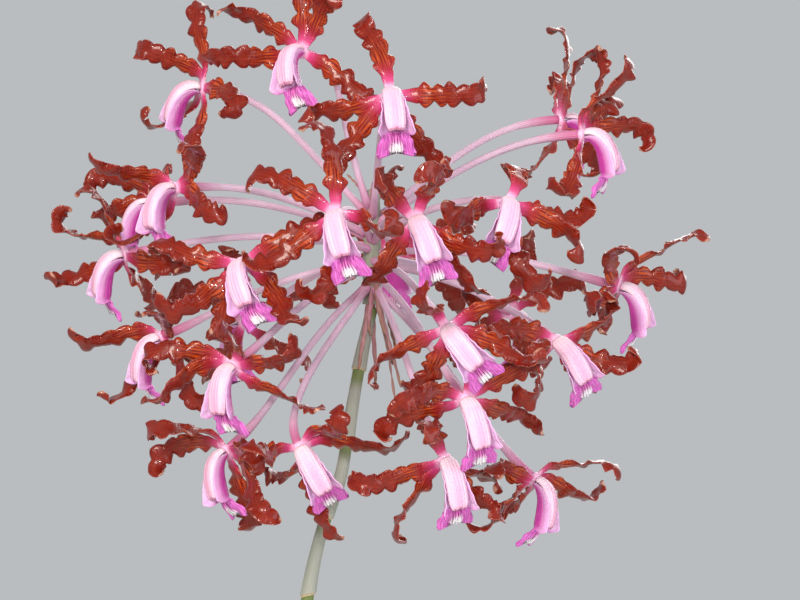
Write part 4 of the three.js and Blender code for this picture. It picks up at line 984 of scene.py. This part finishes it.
def lip_surface(nod, seed):
    """The lip's sheet between its margins t = -1 and 1, with m = |t|: x is the spread times t, and the
    height over the spine goes from centre to rim with m^3 on the gutter and m^2 on the middle lobe. The
    side lobes' corners run on by 2.4 mm. Five keels, cos(pi x / 1.1)^2, stand on the middle lobe and run
    on by 1.9 mm as fingers, and the lobe's own corners run on by up to 2.9 mm to either side."""
    draws = np.random.default_rng(seed)
    phase = draws.uniform(0, 2 * np.pi, 4)
    base = [np.linspace(0, 15.5, 15), np.linspace(16, 20, 13), np.linspace(20.4, 24.8, 16)]
    base = np.concatenate(base)[:, None]
    w = np.linspace(-1, 1, 45)[None, :]
    t = 0.5 * (w + np.sin(np.pi * w / 2))
    m = np.abs(t)
    spread = from_table([(0, 2.8), (3, 3.5), (8, 4.2), (11, 4.6), (14.5, 5.6), (17, 6.8), (17.8, 6.4),
                         (18.8, 4.7), (20.2, 5.3), (22, 6.3), (24, 7.1), (25, 7.3)], base)
    rim = from_table([(0, -0.9), (3, 0.6), (6, 1.7), (10, 2.9), (14, 3.9), (17, 4.4), (17.8, 3.0),
                      (18.8, -1.6), (20.2, -2.6), (22, -4.2), (24, -6.2), (25, -7.2)], base)
    centre = from_table([(0, -1.8), (4, -2.6), (12, -3.2), (18, -3.1), (19.2, -2.5), (21, -2.4), (23, -3.3),
                         (25, -5.0)], base)
    lobed = ease(base, 18.4, 19.9)
    x = spread * t
    z = centre + (rim - centre) * (m ** 3 + (m ** 2 - m ** 3) * lobed)
    keels = np.cos(np.pi * x / 1.1) ** 2 * np.clip(1 - (np.abs(x) / 2.8) ** 6, 0, 1)
    z = z + 0.8 * keels * ease(base, 16.5, 20.4)
    z = z + lobed * (0.45 * np.sin(2 * np.pi * base / 3.1 + phase[0]) * m ** 4
                     + 0.25 * np.cos(np.pi * x / 0.9) * ease(m, 0.35, 0.6))
    side_wave = 0.2 * np.sin(2 * np.pi * base / 3.3 + np.where(t < 0, phase[1], phase[2]))
    x = x + side_wave * m ** 5 * np.sign(t) * ease(base, 3, 7)
    lobe = 2.4 * m ** 5 * ease(base, 11, 17) * (1 - ease(base, 18, 19.4))
    fingers = 1.9 * keels - 1.0
    corners = 2.9 * ease(m, 0.45, 0.85) - 1.3 * ease(m, 0.93, 1.0)
    edge = np.where(np.abs(x) < 2.8, fingers, corners - 0.7)
    s = base + lobe + edge * ease(base, 20.8, 24.8) ** 1.5
    sheet = on_spine(nod, s, x, z)
    normal = unit(np.cross(np.gradient(sheet, axis=1), np.gradient(sheet, axis=0)))
    if (normal[:, 22] * lip_spine(nod)[2][27]).sum() < 0:
        normal = -normal
    half = (0.34 * (1 - 0.55 * m ** 3))[..., None]
    rings = np.concatenate([sheet + normal * half, (sheet - normal * half)[:, ::-1]], axis=1)
    sides = np.broadcast_to(np.repeat([1.0, -1.0], 45), rings.shape[:2]).ravel()
    body = loft(rings, base / LIP_LENGTH, np.concatenate([t, t[:, ::-1]], axis=1))
    return body, np.concatenate([sides, [1, 1]])


def make_lips():
    """One piece for each bloom: its column, carried by the first finish, and its lip, by the second."""
    for i, (bloom, (rotation, place)) in enumerate(zip(BLOOMS, FRAMES)):
        nod = nod_of(bloom[0])
        column = placed(column_surface(nod), rotation, place)
        lip, sides = lip_surface(nod, 500 + i)
        bodies = [(column, 0, 1), (placed(lip, rotation, place), 1, sides)]
        node = f"bloom_{i + 1:02d}_lip"
        piece = make_piece(f"bloom_{i + 1:02d}_labellum", bodies, [COLUMN_TISSUE, LIP_TISSUE],
                           [node])
    print("faces of one column and lip:", len(piece.data.polygons))


make_lips()

# %% [markdown]
# ## Pedicels, hub and bracts
# Each bloom hangs on a pedicel that leaves the hub, arches out and thickens into the six-ribbed ovary
# behind the flower. A round section carried along the curve makes it. A carried section needs a direction
# that it doesn't twist about, and the one in which the path reaches least is a safe choice. The bracts
# that once covered the buds hang from the hub as thin dry strips.

# %% Pipes and strips
def across_of(path):
    """Two directions square to a path at each point. The second one is close to the direction in which the
    path extends least, the last axis of its singular value decomposition."""
    tangent = unit(np.gradient(path, axis=0))
    reference = np.linalg.svd(path - path.mean(0))[2][2]
    first = unit(np.cross(tangent, reference))
    return first, np.cross(first, tangent)


def pipe(path, radius, columns, along, axes=None):
    """Rings of a radius, points x columns or points x 1, square to a path."""
    first, second = axes or across_of(path)
    angle = np.linspace(0, 2 * np.pi, columns, endpoint=False)
    rings = path[:, None] + np.asarray(radius)[..., None] * (
        np.cos(angle)[None, :, None] * first[:, None] + np.sin(angle)[None, :, None] * second[:, None])
    return loft(rings, np.asarray(along).reshape(len(path), -1), angle[None, :] / np.pi - 1)


def strip(path, side, face, half, thickness, columns=9, lift=None):
    """A thin blade with a lens-shaped section. v runs from -1 to 1 over its front and back again, and lift
    raises its points along the face, on rows x 2 (columns - 1)."""
    angle = np.pi * np.arange(columns) / (columns - 1)
    front = -np.cos(angle)
    v = np.concatenate([front, front[-2:0:-1]])[None, :]
    is_front = np.concatenate([np.ones(columns), -np.ones(columns - 2)])[None, :]
    height = is_front * thickness / 2 * np.sqrt(np.clip(1 - v ** 2, 0, 1))
    if lift is not None:
        height = height + lift(v, is_front)
    rings = path[:, None] + side[:, None] * (half * v)[..., None] + face[:, None] * height[..., None]
    sides = np.broadcast_to(is_front, rings.shape[:2]).ravel()
    along = np.linspace(0, 1, len(path))[:, None]
    return loft(rings, along, np.broadcast_to(v, rings.shape[:2])), np.concatenate([sides, [1, 1]])


def make_pedicels():
    """Pedicels with a foot that flares on the hub, six low ribs and a thicker ovary, all as radius times
    1 + 0.06 cos(6 a), and the last point inside the receptacle."""
    t = np.linspace(0, 1, 40)
    a = np.linspace(0, 2 * np.pi, 18, endpoint=False)[None, :]
    radius = 1.3 + 0.55 * (1 - ease(t, 0, 0.07)) + 0.45 * ease(t, 0.7, 0.93)
    radius = radius[:, None] * (1 + 0.06 * np.cos(6 * a + 3 * t[:, None]))
    bodies = []
    for control in PEDICELS:
        path = bezier(control, t)
        path[-1] += 0.9 * unit(path[-1] - path[-2])
        path[0] -= 0.8 * unit(path[1] - path[0])
        bodies.append((pipe(path, radius, 18, t), 0, 1))
    height = np.linspace(0, RACHIS_LENGTH, 60)
    knobs = 0.35 * np.sin(height[:, None] * 1.3 + 2 * np.sin(2 * a[:, :1] + height[:, None] / 4))
    closing = np.sqrt(np.clip(1 - (np.clip(height - 42, 0, 2) / 2.02) ** 2, 0.01, 1))
    girth = (3.6 - 0.72 * height / RACHIS_LENGTH + 0.1) * closing
    path = HUB + np.array([0, 0, RACHIS_LOW + SEAT_GAP]) + height[:, None] * np.array([0, 0, 1.0])
    axes = (np.tile([1.0, 0, 0], (60, 1)), np.tile([0, 1.0, 0], (60, 1)))
    around = np.linspace(0, 2 * np.pi, 28, endpoint=False)[None, :]
    hub_radius = girth[:, None] * (1 + 0.06 * np.sin(3 * around + height[:, None] * 0.9)) + 0.3 * knobs
    bodies.append((pipe(path, hub_radius, 28, np.full(60, 0.22), axes), 1, 1))
    return make_piece("pedicels_and_hub", bodies, [PEDICEL_TISSUE, STALK_SHEATH], ["umbel"])


def make_bracts():
    """Strips that hang or stand from the hub. The path goes out from the hub at a tilt from the vertical
    and bows by 3 u^2 mm, with a slow sideways wave, and the margins curl by 0.5 v^2 mm."""
    draw = seeded_draws(31)
    entries = []
    for i in range(8):
        azimuth = -125 + 205 * i / 7 + 10 * next(draw)
        level = RACHIS_LOW + 4 + 10 * next(draw)
        entries.append((azimuth, level, 170 - 16 * next(draw), 22 + 36 * next(draw)))
    for i in range(3):
        entries.append((40 + 120 * i, RACHIS_LOW + RACHIS_LENGTH - 5, 22, 11 + 4 * next(draw)))
    u = np.linspace(0, 1, 40)[:, None]
    bodies = []
    for i, (azimuth, level, tilt, length) in enumerate(entries):
        azimuth, tilt = np.radians(azimuth), np.radians(tilt)
        out = np.array([np.cos(azimuth), np.sin(azimuth), 0])
        side = np.array([-out[1], out[0], 0])
        along = np.cos(tilt) * np.array([0, 0, 1.0]) + np.sin(tilt) * out
        face = np.cross(side, along)
        root = HUB + np.array([0, 0, level]) + 1.98 * out
        path = root + length * u * along + 3 * u ** 2 * face + 0.9 * u * np.sin(5 * u + i) * side
        turn = 1.4 * u ** 1.5 * np.sin(i * 2.1)
        sides = np.cos(turn) * side + np.sin(turn) * face
        faces = np.cos(turn) * face - np.sin(turn) * side
        pointed = np.sqrt(np.clip(1 - np.clip((u - 0.93) / 0.071, 0, 1) ** 2, 0.02, 1))
        half = 1.25 * (1 - 0.55 * u ** 2) * pointed * (1 + 0.12 * np.sin(u * 30 + i))
        curl = lambda v, is_front: 0.5 * v ** 2 + 0.15 * np.sin(u * 40 + 3 * v)
        body, front_back = strip(path, sides, faces, half, 0.35, 7, curl)
        bodies.append((body, 0, front_back))
    return make_piece("hub_bracts", bodies, [DRY_BRACT], ["umbel"])


print("pedicels and hub, faces:", len(make_pedicels().data.polygons))
print("bracts, faces:", len(make_bracts().data.polygons))

# %% [markdown]
# ## The flower stalk and its sheaths
# The stalk is longer than a forearm and thinner than a pencil. At each node a papery sheath clasps it,
# wraps upwards and ends in a clean edge. Each sheath could be a shell of its own, but a single pipe whose
# radius swells over each sheath and drops at its edge reads as a wrapped stalk. Its number along the
# piece starts again at each node, which puts the green of the living stalk just under each edge.

# %% The stalk
def make_stalk():
    """A pipe from the hub to its bulb, whose radius grows from 2.2 to 3.0 mm. The nodes lie 25 mm apart at
    first and 9% more each time, and over the share f between two nodes 0.7 f^1.8 mm is added. The sheath's
    edge runs a little aslant, by 1.2 mm cos(a)."""
    fine = by_length(SCAPE_POINTS, np.linspace(0, 1, 400))
    length = np.linalg.norm(np.diff(fine, axis=0), axis=1).sum()
    shares = np.concatenate([np.linspace(0, 0.9, 11), [0.94, 0.96, 0.97, 0.976, 0.982, 0.988, 0.997]])
    start, internode, distance, share, node = 0.0, 25.0, [], [], []
    while start < length - 1:
        end = min(start + internode, length)
        distance.append(start + (end - start) * shares)
        share.append(shares)
        node.append(np.full(len(shares), len(node)))
        start, internode = end, internode * 1.09
    distance, share, node = (np.concatenate(x)[:, None] for x in (distance, share, node))
    a = np.linspace(0, 2 * np.pi, 32, endpoint=False)[None, :]
    slant_below = np.cos(a + 2.4 * node) * ease(share, 0.5, 0.94)
    slant_above = np.cos(a + 2.4 * (node - 1)) * (1 - ease(share, 0, 0.1)) * (node > 0)
    distance = np.clip(distance + 1.2 * (slant_below + slant_above), 0, length)
    # the thin upper margin of a sheath lies close, and its lower end stands off
    extra = 0.7 * share ** 1.8 * (1 - ease(share, 0.968, 0.986))
    radius = 2.2 + 0.8 * distance / length + extra
    radius = radius * (1 + 0.025 * np.cos(3 * a + node) * ease(share, 0.2, 0.6))
    u = distance / length
    path = np.stack([np.interp(u, np.linspace(0, 1, 400), fine[:, k]) for k in range(3)], -1)
    slope = unit(np.gradient(fine, axis=0))
    tangent = unit(np.stack([np.interp(u, np.linspace(0, 1, 400), slope[:, k]) for k in range(3)], -1))
    side = unit(np.cross(np.array([0.0, 1.0, 0.0]), tangent))
    face = np.cross(tangent, side)
    around = a + np.pi / 2
    rings = path + radius[..., None] * (np.cos(around)[..., None] * side + np.sin(around)[..., None] * face)
    along = np.broadcast_to(share, distance.shape)
    body = loft(rings, along, a / np.pi - 1)
    return make_piece("flower_stalk", [(body, 0, 1)], [STALK_SHEATH], ["scape"])


stalk = make_stalk()

# %% [markdown]
# ## Pseudobulbs and leaves
# The growths stand in a row along a creeping rhizome. Each swells into a pseudobulb, a water store that
# shrinks into long furrows as it is used, and carries two leathery leaves. Both are lofts again: the
# bulb round, with five deep and many shallow furrows, and the leaf a folded strap along an arched path.

# %% Bulbs, sheaths, rhizome and leaves
MEDIUM_LEVEL = 124
GROWTHS = [  # (foot, height, radius, lean of the top, leaves as azimuth, length and lean)
    ((-45, 6), 132, 15, (-24, 16), ((162, 205, 44), (105, 190, 66))),
    ((-17, -7), 156, 17, (-14, -22), ((212, 225, 44), (288, 200, 70))),
    ((12, 5), 180, 18, (4, 12), ((72, 235, 36), (140, 215, 52))),
    ((42, -5), 142, 15, (26, -16), ((8, 200, 48), (318, 215, 60))),
]
SWELL = np.array([(0, 0.42), (0.1, 0.68), (0.3, 1), (0.58, 0.97), (0.85, 0.6), (1, 0.34)])


def bulb_surface(foot, height, radius, lean, low=0.0, high=1.0, rows=90, columns=80, over=0.0, torn=0):
    """A pseudobulb: its radius follows the swell table over its height, less 14% in five furrows and 1.2%
    in twenty-five, and less 2% at three nodes. A sheath is the same surface a little over it, between
    two levels, whose upper edge is torn by a sum of sines."""
    curve = through(SWELL, np.linspace(0, 1, 200))
    level = np.linspace(low, high, rows)[:, None]
    a = np.linspace(0, 2 * np.pi, columns, endpoint=False)[None, :]
    if torn:
        tear = 0.5 + 0.2 * np.sin(2 * a + torn) + 0.2 * np.sin(5 * a + 2 * torn) + 0.1 * np.sin(13 * a)
        level = low + (level - low) * (0.45 + 0.55 * tear)
    swell = np.interp(level, curve[:, 0], curve[:, 1])
    ribbed = ease(level, 0, 0.06) * (1 - ease(level, 0.93, 1))
    nodes = sum(np.exp(-((level - k) / 0.007) ** 2) for k in (0.33, 0.6, 0.82))
    shape = 1 - ribbed * (0.14 * (1 - np.cos(5 * a)) / 2 + 0.012 * np.cos(25 * a)) - 0.02 * nodes
    reach = radius * swell * shape + over * (1 + 0.3 * np.sin(9 * a + 6 * level))
    base = np.array([*foot, MEDIUM_LEVEL + 4.0])
    axis = np.array([*lean, height - 4.0])
    rings = base + level[..., None] * axis + np.stack([reach * np.cos(a), reach * np.sin(a), 0 * reach], -1)
    return loft(rings, level, a / np.pi - 1)


def shell(outer_rings, inner_rings, along, across):
    """A thin wall: the outer surface upwards, then the inner surface down again."""
    return loft(np.concatenate([outer_rings, inner_rings[::-1]]), along, across)


def leaf_surface(apex, azimuth, length, lean, seed):
    """A leaf whose tilt from upright grows from 12 degrees by (lean + 22) u^1.2. Its half width is 4.2 mm
    at the foot and 21 mm at most, its margins are raised by 0.22 of that with |v|^1.2, and the midrib
    is a groove above and a keel below."""
    azimuth = np.radians(azimuth)
    out = np.array([np.cos(azimuth), np.sin(azimuth), 0])
    side = np.array([-out[1], out[0], 0])
    up = np.array([0, 0, 1.0])
    tilt = lambda u: np.radians(12 + (lean + 22) * u ** 1.2)
    centre = [apex + np.array([0, 0, SEAT_GAP + 2.1]) + 5.6 * out]
    for u in np.arange(6) / 6:
        centre.append(centre[-1] + (np.cos(tilt(u)) * up + np.sin(tilt(u)) * out) * length / 6)
    u = np.linspace(0, 1, 110)[:, None]
    path = through(np.array(centre), u[:, 0])
    face = np.sin(tilt(u)) * up - np.cos(tilt(u)) * out
    full = ease(u, 0, 0.45) * (1 - ease(u, 0.66, 1.02))
    half = 4.2 - 2.2 * ease(u, 0.4, 0.9) + 16.8 * full
    half = half * np.sqrt(np.clip(1 - np.clip((u - 0.955) / 0.0455, 0, 1) ** 2, 0.01, 1))
    draws = np.random.default_rng(seed)
    phase = draws.uniform(0, 6.28, 3)

    def lift(v, is_front):
        """A fold of 0.22 half |v|^1.2, two long waves with v^2 and v^3, and a sunken midrib."""
        fold = 0.22 * half * np.abs(v) ** 1.2
        wave = 0.7 * np.sin(9 * u + phase[0]) * v ** 2 + 0.5 * np.sin(14 * u + phase[1]) * v ** 3
        rib = np.exp(-(v / 0.035) ** 2) * np.where(is_front > 0, -0.5, -0.9) * (1 - ease(u, 0.8, 1))
        return fold + wave * ease(u, 0.1, 0.4) + rib

    thickness = 2.4 * (1 - 0.45 * u)
    sides = np.broadcast_to(side, (110, 3))
    return strip(path, sides, face, half, thickness, 21, lift)


def make_growth(i, foot, height, radius, lean, leaves):
    """The two leaves of one growth and the collar from which they spread."""
    apex = np.array([foot[0] + lean[0], foot[1] + lean[1], MEDIUM_LEVEL + height])
    level = np.linspace(0, 1, 20)
    a = np.linspace(0, 2 * np.pi, 40, endpoint=False)[None, :]
    girth = (7 - 2.1 * level - 2.2 * ease(level, 0.85, 1.0) ** 2)[:, None] * (1 + 0.03 * np.cos(2 * a + i))
    path = apex + np.array([0, 0, SEAT_GAP]) + 7 * level[:, None] * np.array([0, 0, 1.0])
    axes = (np.tile([1.0, 0, 0], (20, 1)), np.tile([0, 1.0, 0], (20, 1)))
    bodies = [(pipe(path, girth, 40, level * 0.05, axes), 0, 1)]
    for k, (azimuth, length, tilt) in enumerate(leaves):
        body, sides = leaf_surface(apex, azimuth, length, tilt, 10 * i + k)
        bodies.append((body, 0, sides))
    return make_piece(f"leaf_blades_{i + 1}", bodies, [LEAF_BLADE], [f"leaves_{i + 1}"])


def make_bulbs():
    """The bulbs, two torn sheaths round the foot of each, the feet in the bark and the rhizome."""
    bodies = []
    for i, (foot, height, radius, lean, _) in enumerate(GROWTHS):
        bodies.append((bulb_surface(foot, height, radius, lean), 0, 1))
        for k, (high, over) in enumerate(((0.5, 0.55), (0.3, 1.1))):
            rows = [bulb_surface(foot, height, radius, lean, 0.015, high, 30, 80, g, 1.3 * i + k + 1)
                    for g in (over, over - 0.35)]
            outer, inner = (b["points"][:-2].reshape(30, 80, 3) for b in rows)
            along = np.concatenate([np.linspace(0, 1, 30), np.linspace(1, 0, 30)])[:, None]
            bodies.append((shell(outer, inner, along, np.linspace(-1, 1, 80)[None, :]), 1, 1))
        down = np.linspace(MEDIUM_LEVEL - 20, MEDIUM_LEVEL + 10, 12)
        path = np.stack([np.full(12, foot[0]), np.full(12, foot[1]), down], 1).astype(float)
        axes = (np.tile([1.0, 0, 0], (12, 1)), np.tile([0, 1.0, 0], (12, 1)))
        bodies.append((pipe(path, np.full((12, 1), 6.4), 32, np.linspace(0, 1, 12), axes), 1, 1))
    for (start, *_), (end, *_) in zip(GROWTHS, GROWTHS[1:]):
        t = np.linspace(0, 1, 40)[:, None]
        path = np.array([*start, MEDIUM_LEVEL - 5.0]) * (1 - t) + np.array([*end, MEDIUM_LEVEL - 5.0]) * t
        girth = 5.9 + 0.35 * np.abs(np.sin(t * np.pi * 5))
        bodies.append((pipe(path, girth, 28, 3 * t % 1.0), 1, 1))
    return make_piece("pseudobulb_bodies", bodies, [BULB_TISSUE, OLD_SHEATH], ["pseudobulbs"])


for number, growth in enumerate(GROWTHS):
    blades = make_growth(number, *growth)
print("pseudobulbs, faces:", len(make_bulbs().data.polygons))

# %% [markdown]
# ## Bark
# Orchids of this kind are grown in chips of bark, for air round the roots. The CAD solid of the bark
# fills the pot, and a layer of loose chips on it gives the top its look. A chip is a squashed and
# roughened block of a few dozen faces, because there are many.

# %% Bark
def pot_radius(z):
    """The pot's outer radius at a height: 56 mm at its base and 22 mm more at 140 mm."""
    return 56 + 22 * z / 140


def make_bark():
    """A round body whose top is rough by a sum of sines, and 300 chips laid at seeded places on it, none
    nearer to a bulb than its radius. A chip is a ring of 8 at each of 5 levels, with random corners."""
    draws = np.random.default_rng(8)
    wall, top = pot_radius(9) - 7.3, pot_radius(MEDIUM_LEVEL) - 7.3
    a = np.linspace(0, 2 * np.pi, 96, endpoint=False)[None, :]
    radius = [np.linspace(1, wall, 8), np.linspace(wall, top, 24)[1:], np.linspace(top, 1, 26)[1:]]
    height = [np.full(8, 9.3), np.linspace(9.3, 121.5, 24)[1:], np.full(25, 121.5)]
    radius, height = (np.concatenate(parts)[:, None] for parts in (radius, height))
    x, y = radius * np.cos(a), radius * np.sin(a)
    rough = np.sin(x / 5) * np.cos(y / 4) + 0.6 * np.sin(x / 2.1 + y / 2.7)
    z = height + 0.9 * rough * (height > 121) * (radius < top - 0.5)
    bodies = [(loft(np.stack([x, y, z], -1), height / MEDIUM_LEVEL, a / np.pi - 1), 0, 1)]
    feet = np.array([growth[0] for growth in GROWTHS], float)
    ring = np.linspace(0, 2 * np.pi, 8, endpoint=False)
    while len(bodies) < 301:
        reach, angle = (top - 5) * np.sqrt(draws.random()), draws.uniform(0, 2 * np.pi)
        at = np.array([reach * np.cos(angle), reach * np.sin(angle)])
        size = np.array([draws.uniform(3.5, 8.5), draws.uniform(2.5, 5.5), draws.uniform(1.2, 2.6)])
        if np.linalg.norm(feet - at, axis=1).min() < 9 or reach + size[0] > top - 0.5:
            continue
        level = np.array([-1.0, -0.75, 0.0, 0.75, 1.0])[:, None]
        girth = np.array([0.6, 0.95, 1.0, 0.93, 0.6])[:, None]
        corner = girth * draws.uniform(0.72, 1.1, (1, 8)) * draws.uniform(0.93, 1.05, (5, 8))
        shape = np.stack([corner * np.cos(ring), corner * np.sin(ring),
                          level + draws.uniform(-0.18, 0.18, (5, 8))], -1) * size
        turn, tip, roll = draws.uniform(0, 6.28), draws.uniform(-0.45, 0.45), draws.uniform(-0.45, 0.45)
        c, s = np.cos(turn), np.sin(turn)
        about = np.array([[c, -s, 0], [s, c, 0], [0, 0, 1]])
        about = about @ np.array([[1, 0, 0], [0, np.cos(tip), -np.sin(tip)], [0, np.sin(tip), np.cos(tip)]])
        about = about @ np.array([[np.cos(roll), 0, np.sin(roll)], [0, 1, 0],
                                  [-np.sin(roll), 0, np.cos(roll)]])
        rings = shape @ about.T + np.array([*at, 122.2 + draws.uniform(0, 3.0)])
        bodies.append((loft(rings, level, ring[None, :] / np.pi - 1), 0, 1))
    return make_piece("bark_chips", bodies, [SPLIT_BARK], ["potting_medium"])


print("bark, faces:", len(make_bark().data.polygons))

# %% [markdown]
# ## The pot
# A flower pot is a turned shape: one profile carried round a circle. Real clay has no sharp edges, so
# every corner of the profile is rounded first. The three drain holes are cut through its floor
# afterwards, because a turned surface can't have them.

# %% Pot
def rounded(profile, radius):
    """A profile whose corners are cut back by a radius and replaced by a quadratic curve of 6 points."""
    points = [np.array(profile[0], float)]
    for before, corner, after in zip(profile, profile[1:], profile[2:]):
        before, corner, after = (np.array(p, float) for p in (before, corner, after))
        reach = min(radius, 0.45 * np.linalg.norm(corner - before), 0.45 * np.linalg.norm(after - corner))
        p, q = corner + reach * unit(before - corner), corner + reach * unit(after - corner)
        t = np.linspace(0, 1, 6)[:, None]
        points.extend((1 - t) ** 2 * p + 2 * t * (1 - t) * corner + t ** 2 * q)
    return np.array(points + [np.array(profile[-1], float)])


def make_pot():
    """The pot's rounded profile turned about z, and the drain holes cut by three cylinders that are then
    removed."""
    inner = lambda z: pot_radius(z) - 7
    profile = rounded([
        (0.5, 0), (pot_radius(0), 0), (pot_radius(114), 114), (pot_radius(114) + 5, 116), (83, 140),
        (71, 140), (inner(9), 9), (0.5, 9),
    ], 2.2)
    steps = [np.linspace(a, b, max(2, int(np.linalg.norm(b - a) / 5)), endpoint=False)
             for a, b in zip(profile, profile[1:])]
    profile = np.concatenate(steps + [profile[-1:]])
    a = np.linspace(0, 2 * np.pi, 144, endpoint=False)[None, :]
    r, z = profile[:, :1], profile[:, 1:]
    wobble = 1 + 0.0015 * np.sin(2 * a + 1)
    level = np.broadcast_to(z, (len(r), 144))
    rings = np.stack([r * wobble * np.cos(a), r * wobble * np.sin(a), level], -1)
    body = loft(rings, z / 140, a / np.pi - 1)
    pot = make_piece("pot_body", [(body, 0, 1)], [FIRED_CLAY], ["pot"])
    drills = []
    for k in range(3):
        angle = np.radians(90 + 120 * k)
        bpy.ops.mesh.primitive_cylinder_add(vertices=48, radius=6 * MM, depth=30 * MM,
                                            location=(30 * MM * np.cos(angle), 30 * MM * np.sin(angle), 0))
        drill = bpy.context.object
        cut = pot.modifiers.new("drain", "BOOLEAN")
        cut.operation, cut.object, cut.solver = "DIFFERENCE", drill, "EXACT"
        drills.append(drill)
    pot.data = bpy.data.meshes.new_from_object(pot.evaluated_get(bpy.context.evaluated_depsgraph_get()))
    pot.modifiers.clear()
    for drill in drills:
        bpy.data.objects.remove(drill)
    pot.data.set_sharp_from_angle(angle=np.radians(40))
    return pot


pot = make_pot()
print("pot, faces:", len(pot.data.polygons), "materials:", [m.name for m in pot.data.materials])

# %% [markdown]
# ## Floor, light and camera
# The plant stands on a plain pale floor. Soft light from large lamps suits petals, but their gloss shows
# only where something bright is mirrored, so one smaller lamp stands near the camera, where the
# photograph's own light was. The camera looks level at the flower head from 1.2 m, a little to the left
# of it.

# %% Stage
def matt_paint(tree):
    """Paint, rolled on: the eye sees an even pale ground with a barely visible cloud of 40 mm."""
    spot = add(tree, "TexCoord", {}, "Object")
    cloud = add(tree, "TexNoise", {**NOISE, "Vector": spot, "Scale": 1 / (40.0 * MM)})
    return {"Base Color": coats(tree, "#D9D7D2", (cloud, "#E0DEDA", 1.0)), "Roughness": 0.8}


def make_floor():
    """A round floor of 1.6 m radius, 20 mm thick, whose top lies half a millimetre under the pot."""
    bpy.ops.mesh.primitive_cylinder_add(vertices=128, radius=1.6, depth=0.02, location=(0, 0, -0.0105))
    floor = bpy.context.object
    floor.name = "floor"
    floor.data.materials.append(make_finish("pale_floor_matt_painted", matt_paint))


def make_lamp(name, place, target, size, watts, colour="#FFFFFF"):
    """A square lamp of a size in metres that faces a target."""
    lamp = bpy.data.objects.new(name, bpy.data.lights.new(name, "AREA"))
    lamp.data.size, lamp.data.energy, lamp.data.color = size, watts, linear(colour)[:3]
    lamp.location = place
    aim(lamp, target)
    bpy.context.scene.collection.objects.link(lamp)


def aim(thing, target):
    """Turns a lamp or camera so that its -z axis points at a target and its y axis up."""
    back = unit(np.array(thing.location, float) - np.array(target, float))
    right = unit(np.cross([0, 0, 1.0], back))
    up = np.cross(back, right)
    thing.rotation_euler = Matrix(np.stack([right, up, back], 1).tolist()).to_euler()


make_floor()
head = (0.016, 0.0, 0.88)
make_lamp("key_softbox", (-0.55, -1.35, 1.45), head, 0.5, 21.0, "#FFF9F0")
make_lamp("flash_panel", (0.10, -1.5, 1.0), head, 0.10, 9.0)
make_lamp("fill_softbox", (1.5, -0.9, 0.8), (0, 0, 0.6), 1.2, 13.0, "#F2F6FF")
make_lamp("back_softbox", (0.6, 1.5, 1.5), (0, 0, 0.6), 1.2, 16.0)
world = bpy.data.worlds.new("studio")
bpy.context.scene.world = world
world.use_nodes = True
world.node_tree.nodes["Background"].inputs["Color"].default_value = linear("#DADDE0")
world.node_tree.nodes["Background"].inputs["Strength"].default_value = 0.7
bpy.context.scene.view_settings.view_transform = "Standard"

camera = bpy.data.objects.new("camera", bpy.data.cameras.new("camera"))
camera.location = (0.0266, -1.2, 0.8629)
camera.rotation_euler = (np.pi / 2, 0, 0)
camera.data.sensor_width = 36
camera.data.lens = 36 * 1.2 / (800 * 0.00038)
camera.data.clip_start = 0.05
bpy.context.scene.collection.objects.link(camera)
bpy.context.scene.camera = camera
print("lens in mm:", round(camera.data.lens, 1))
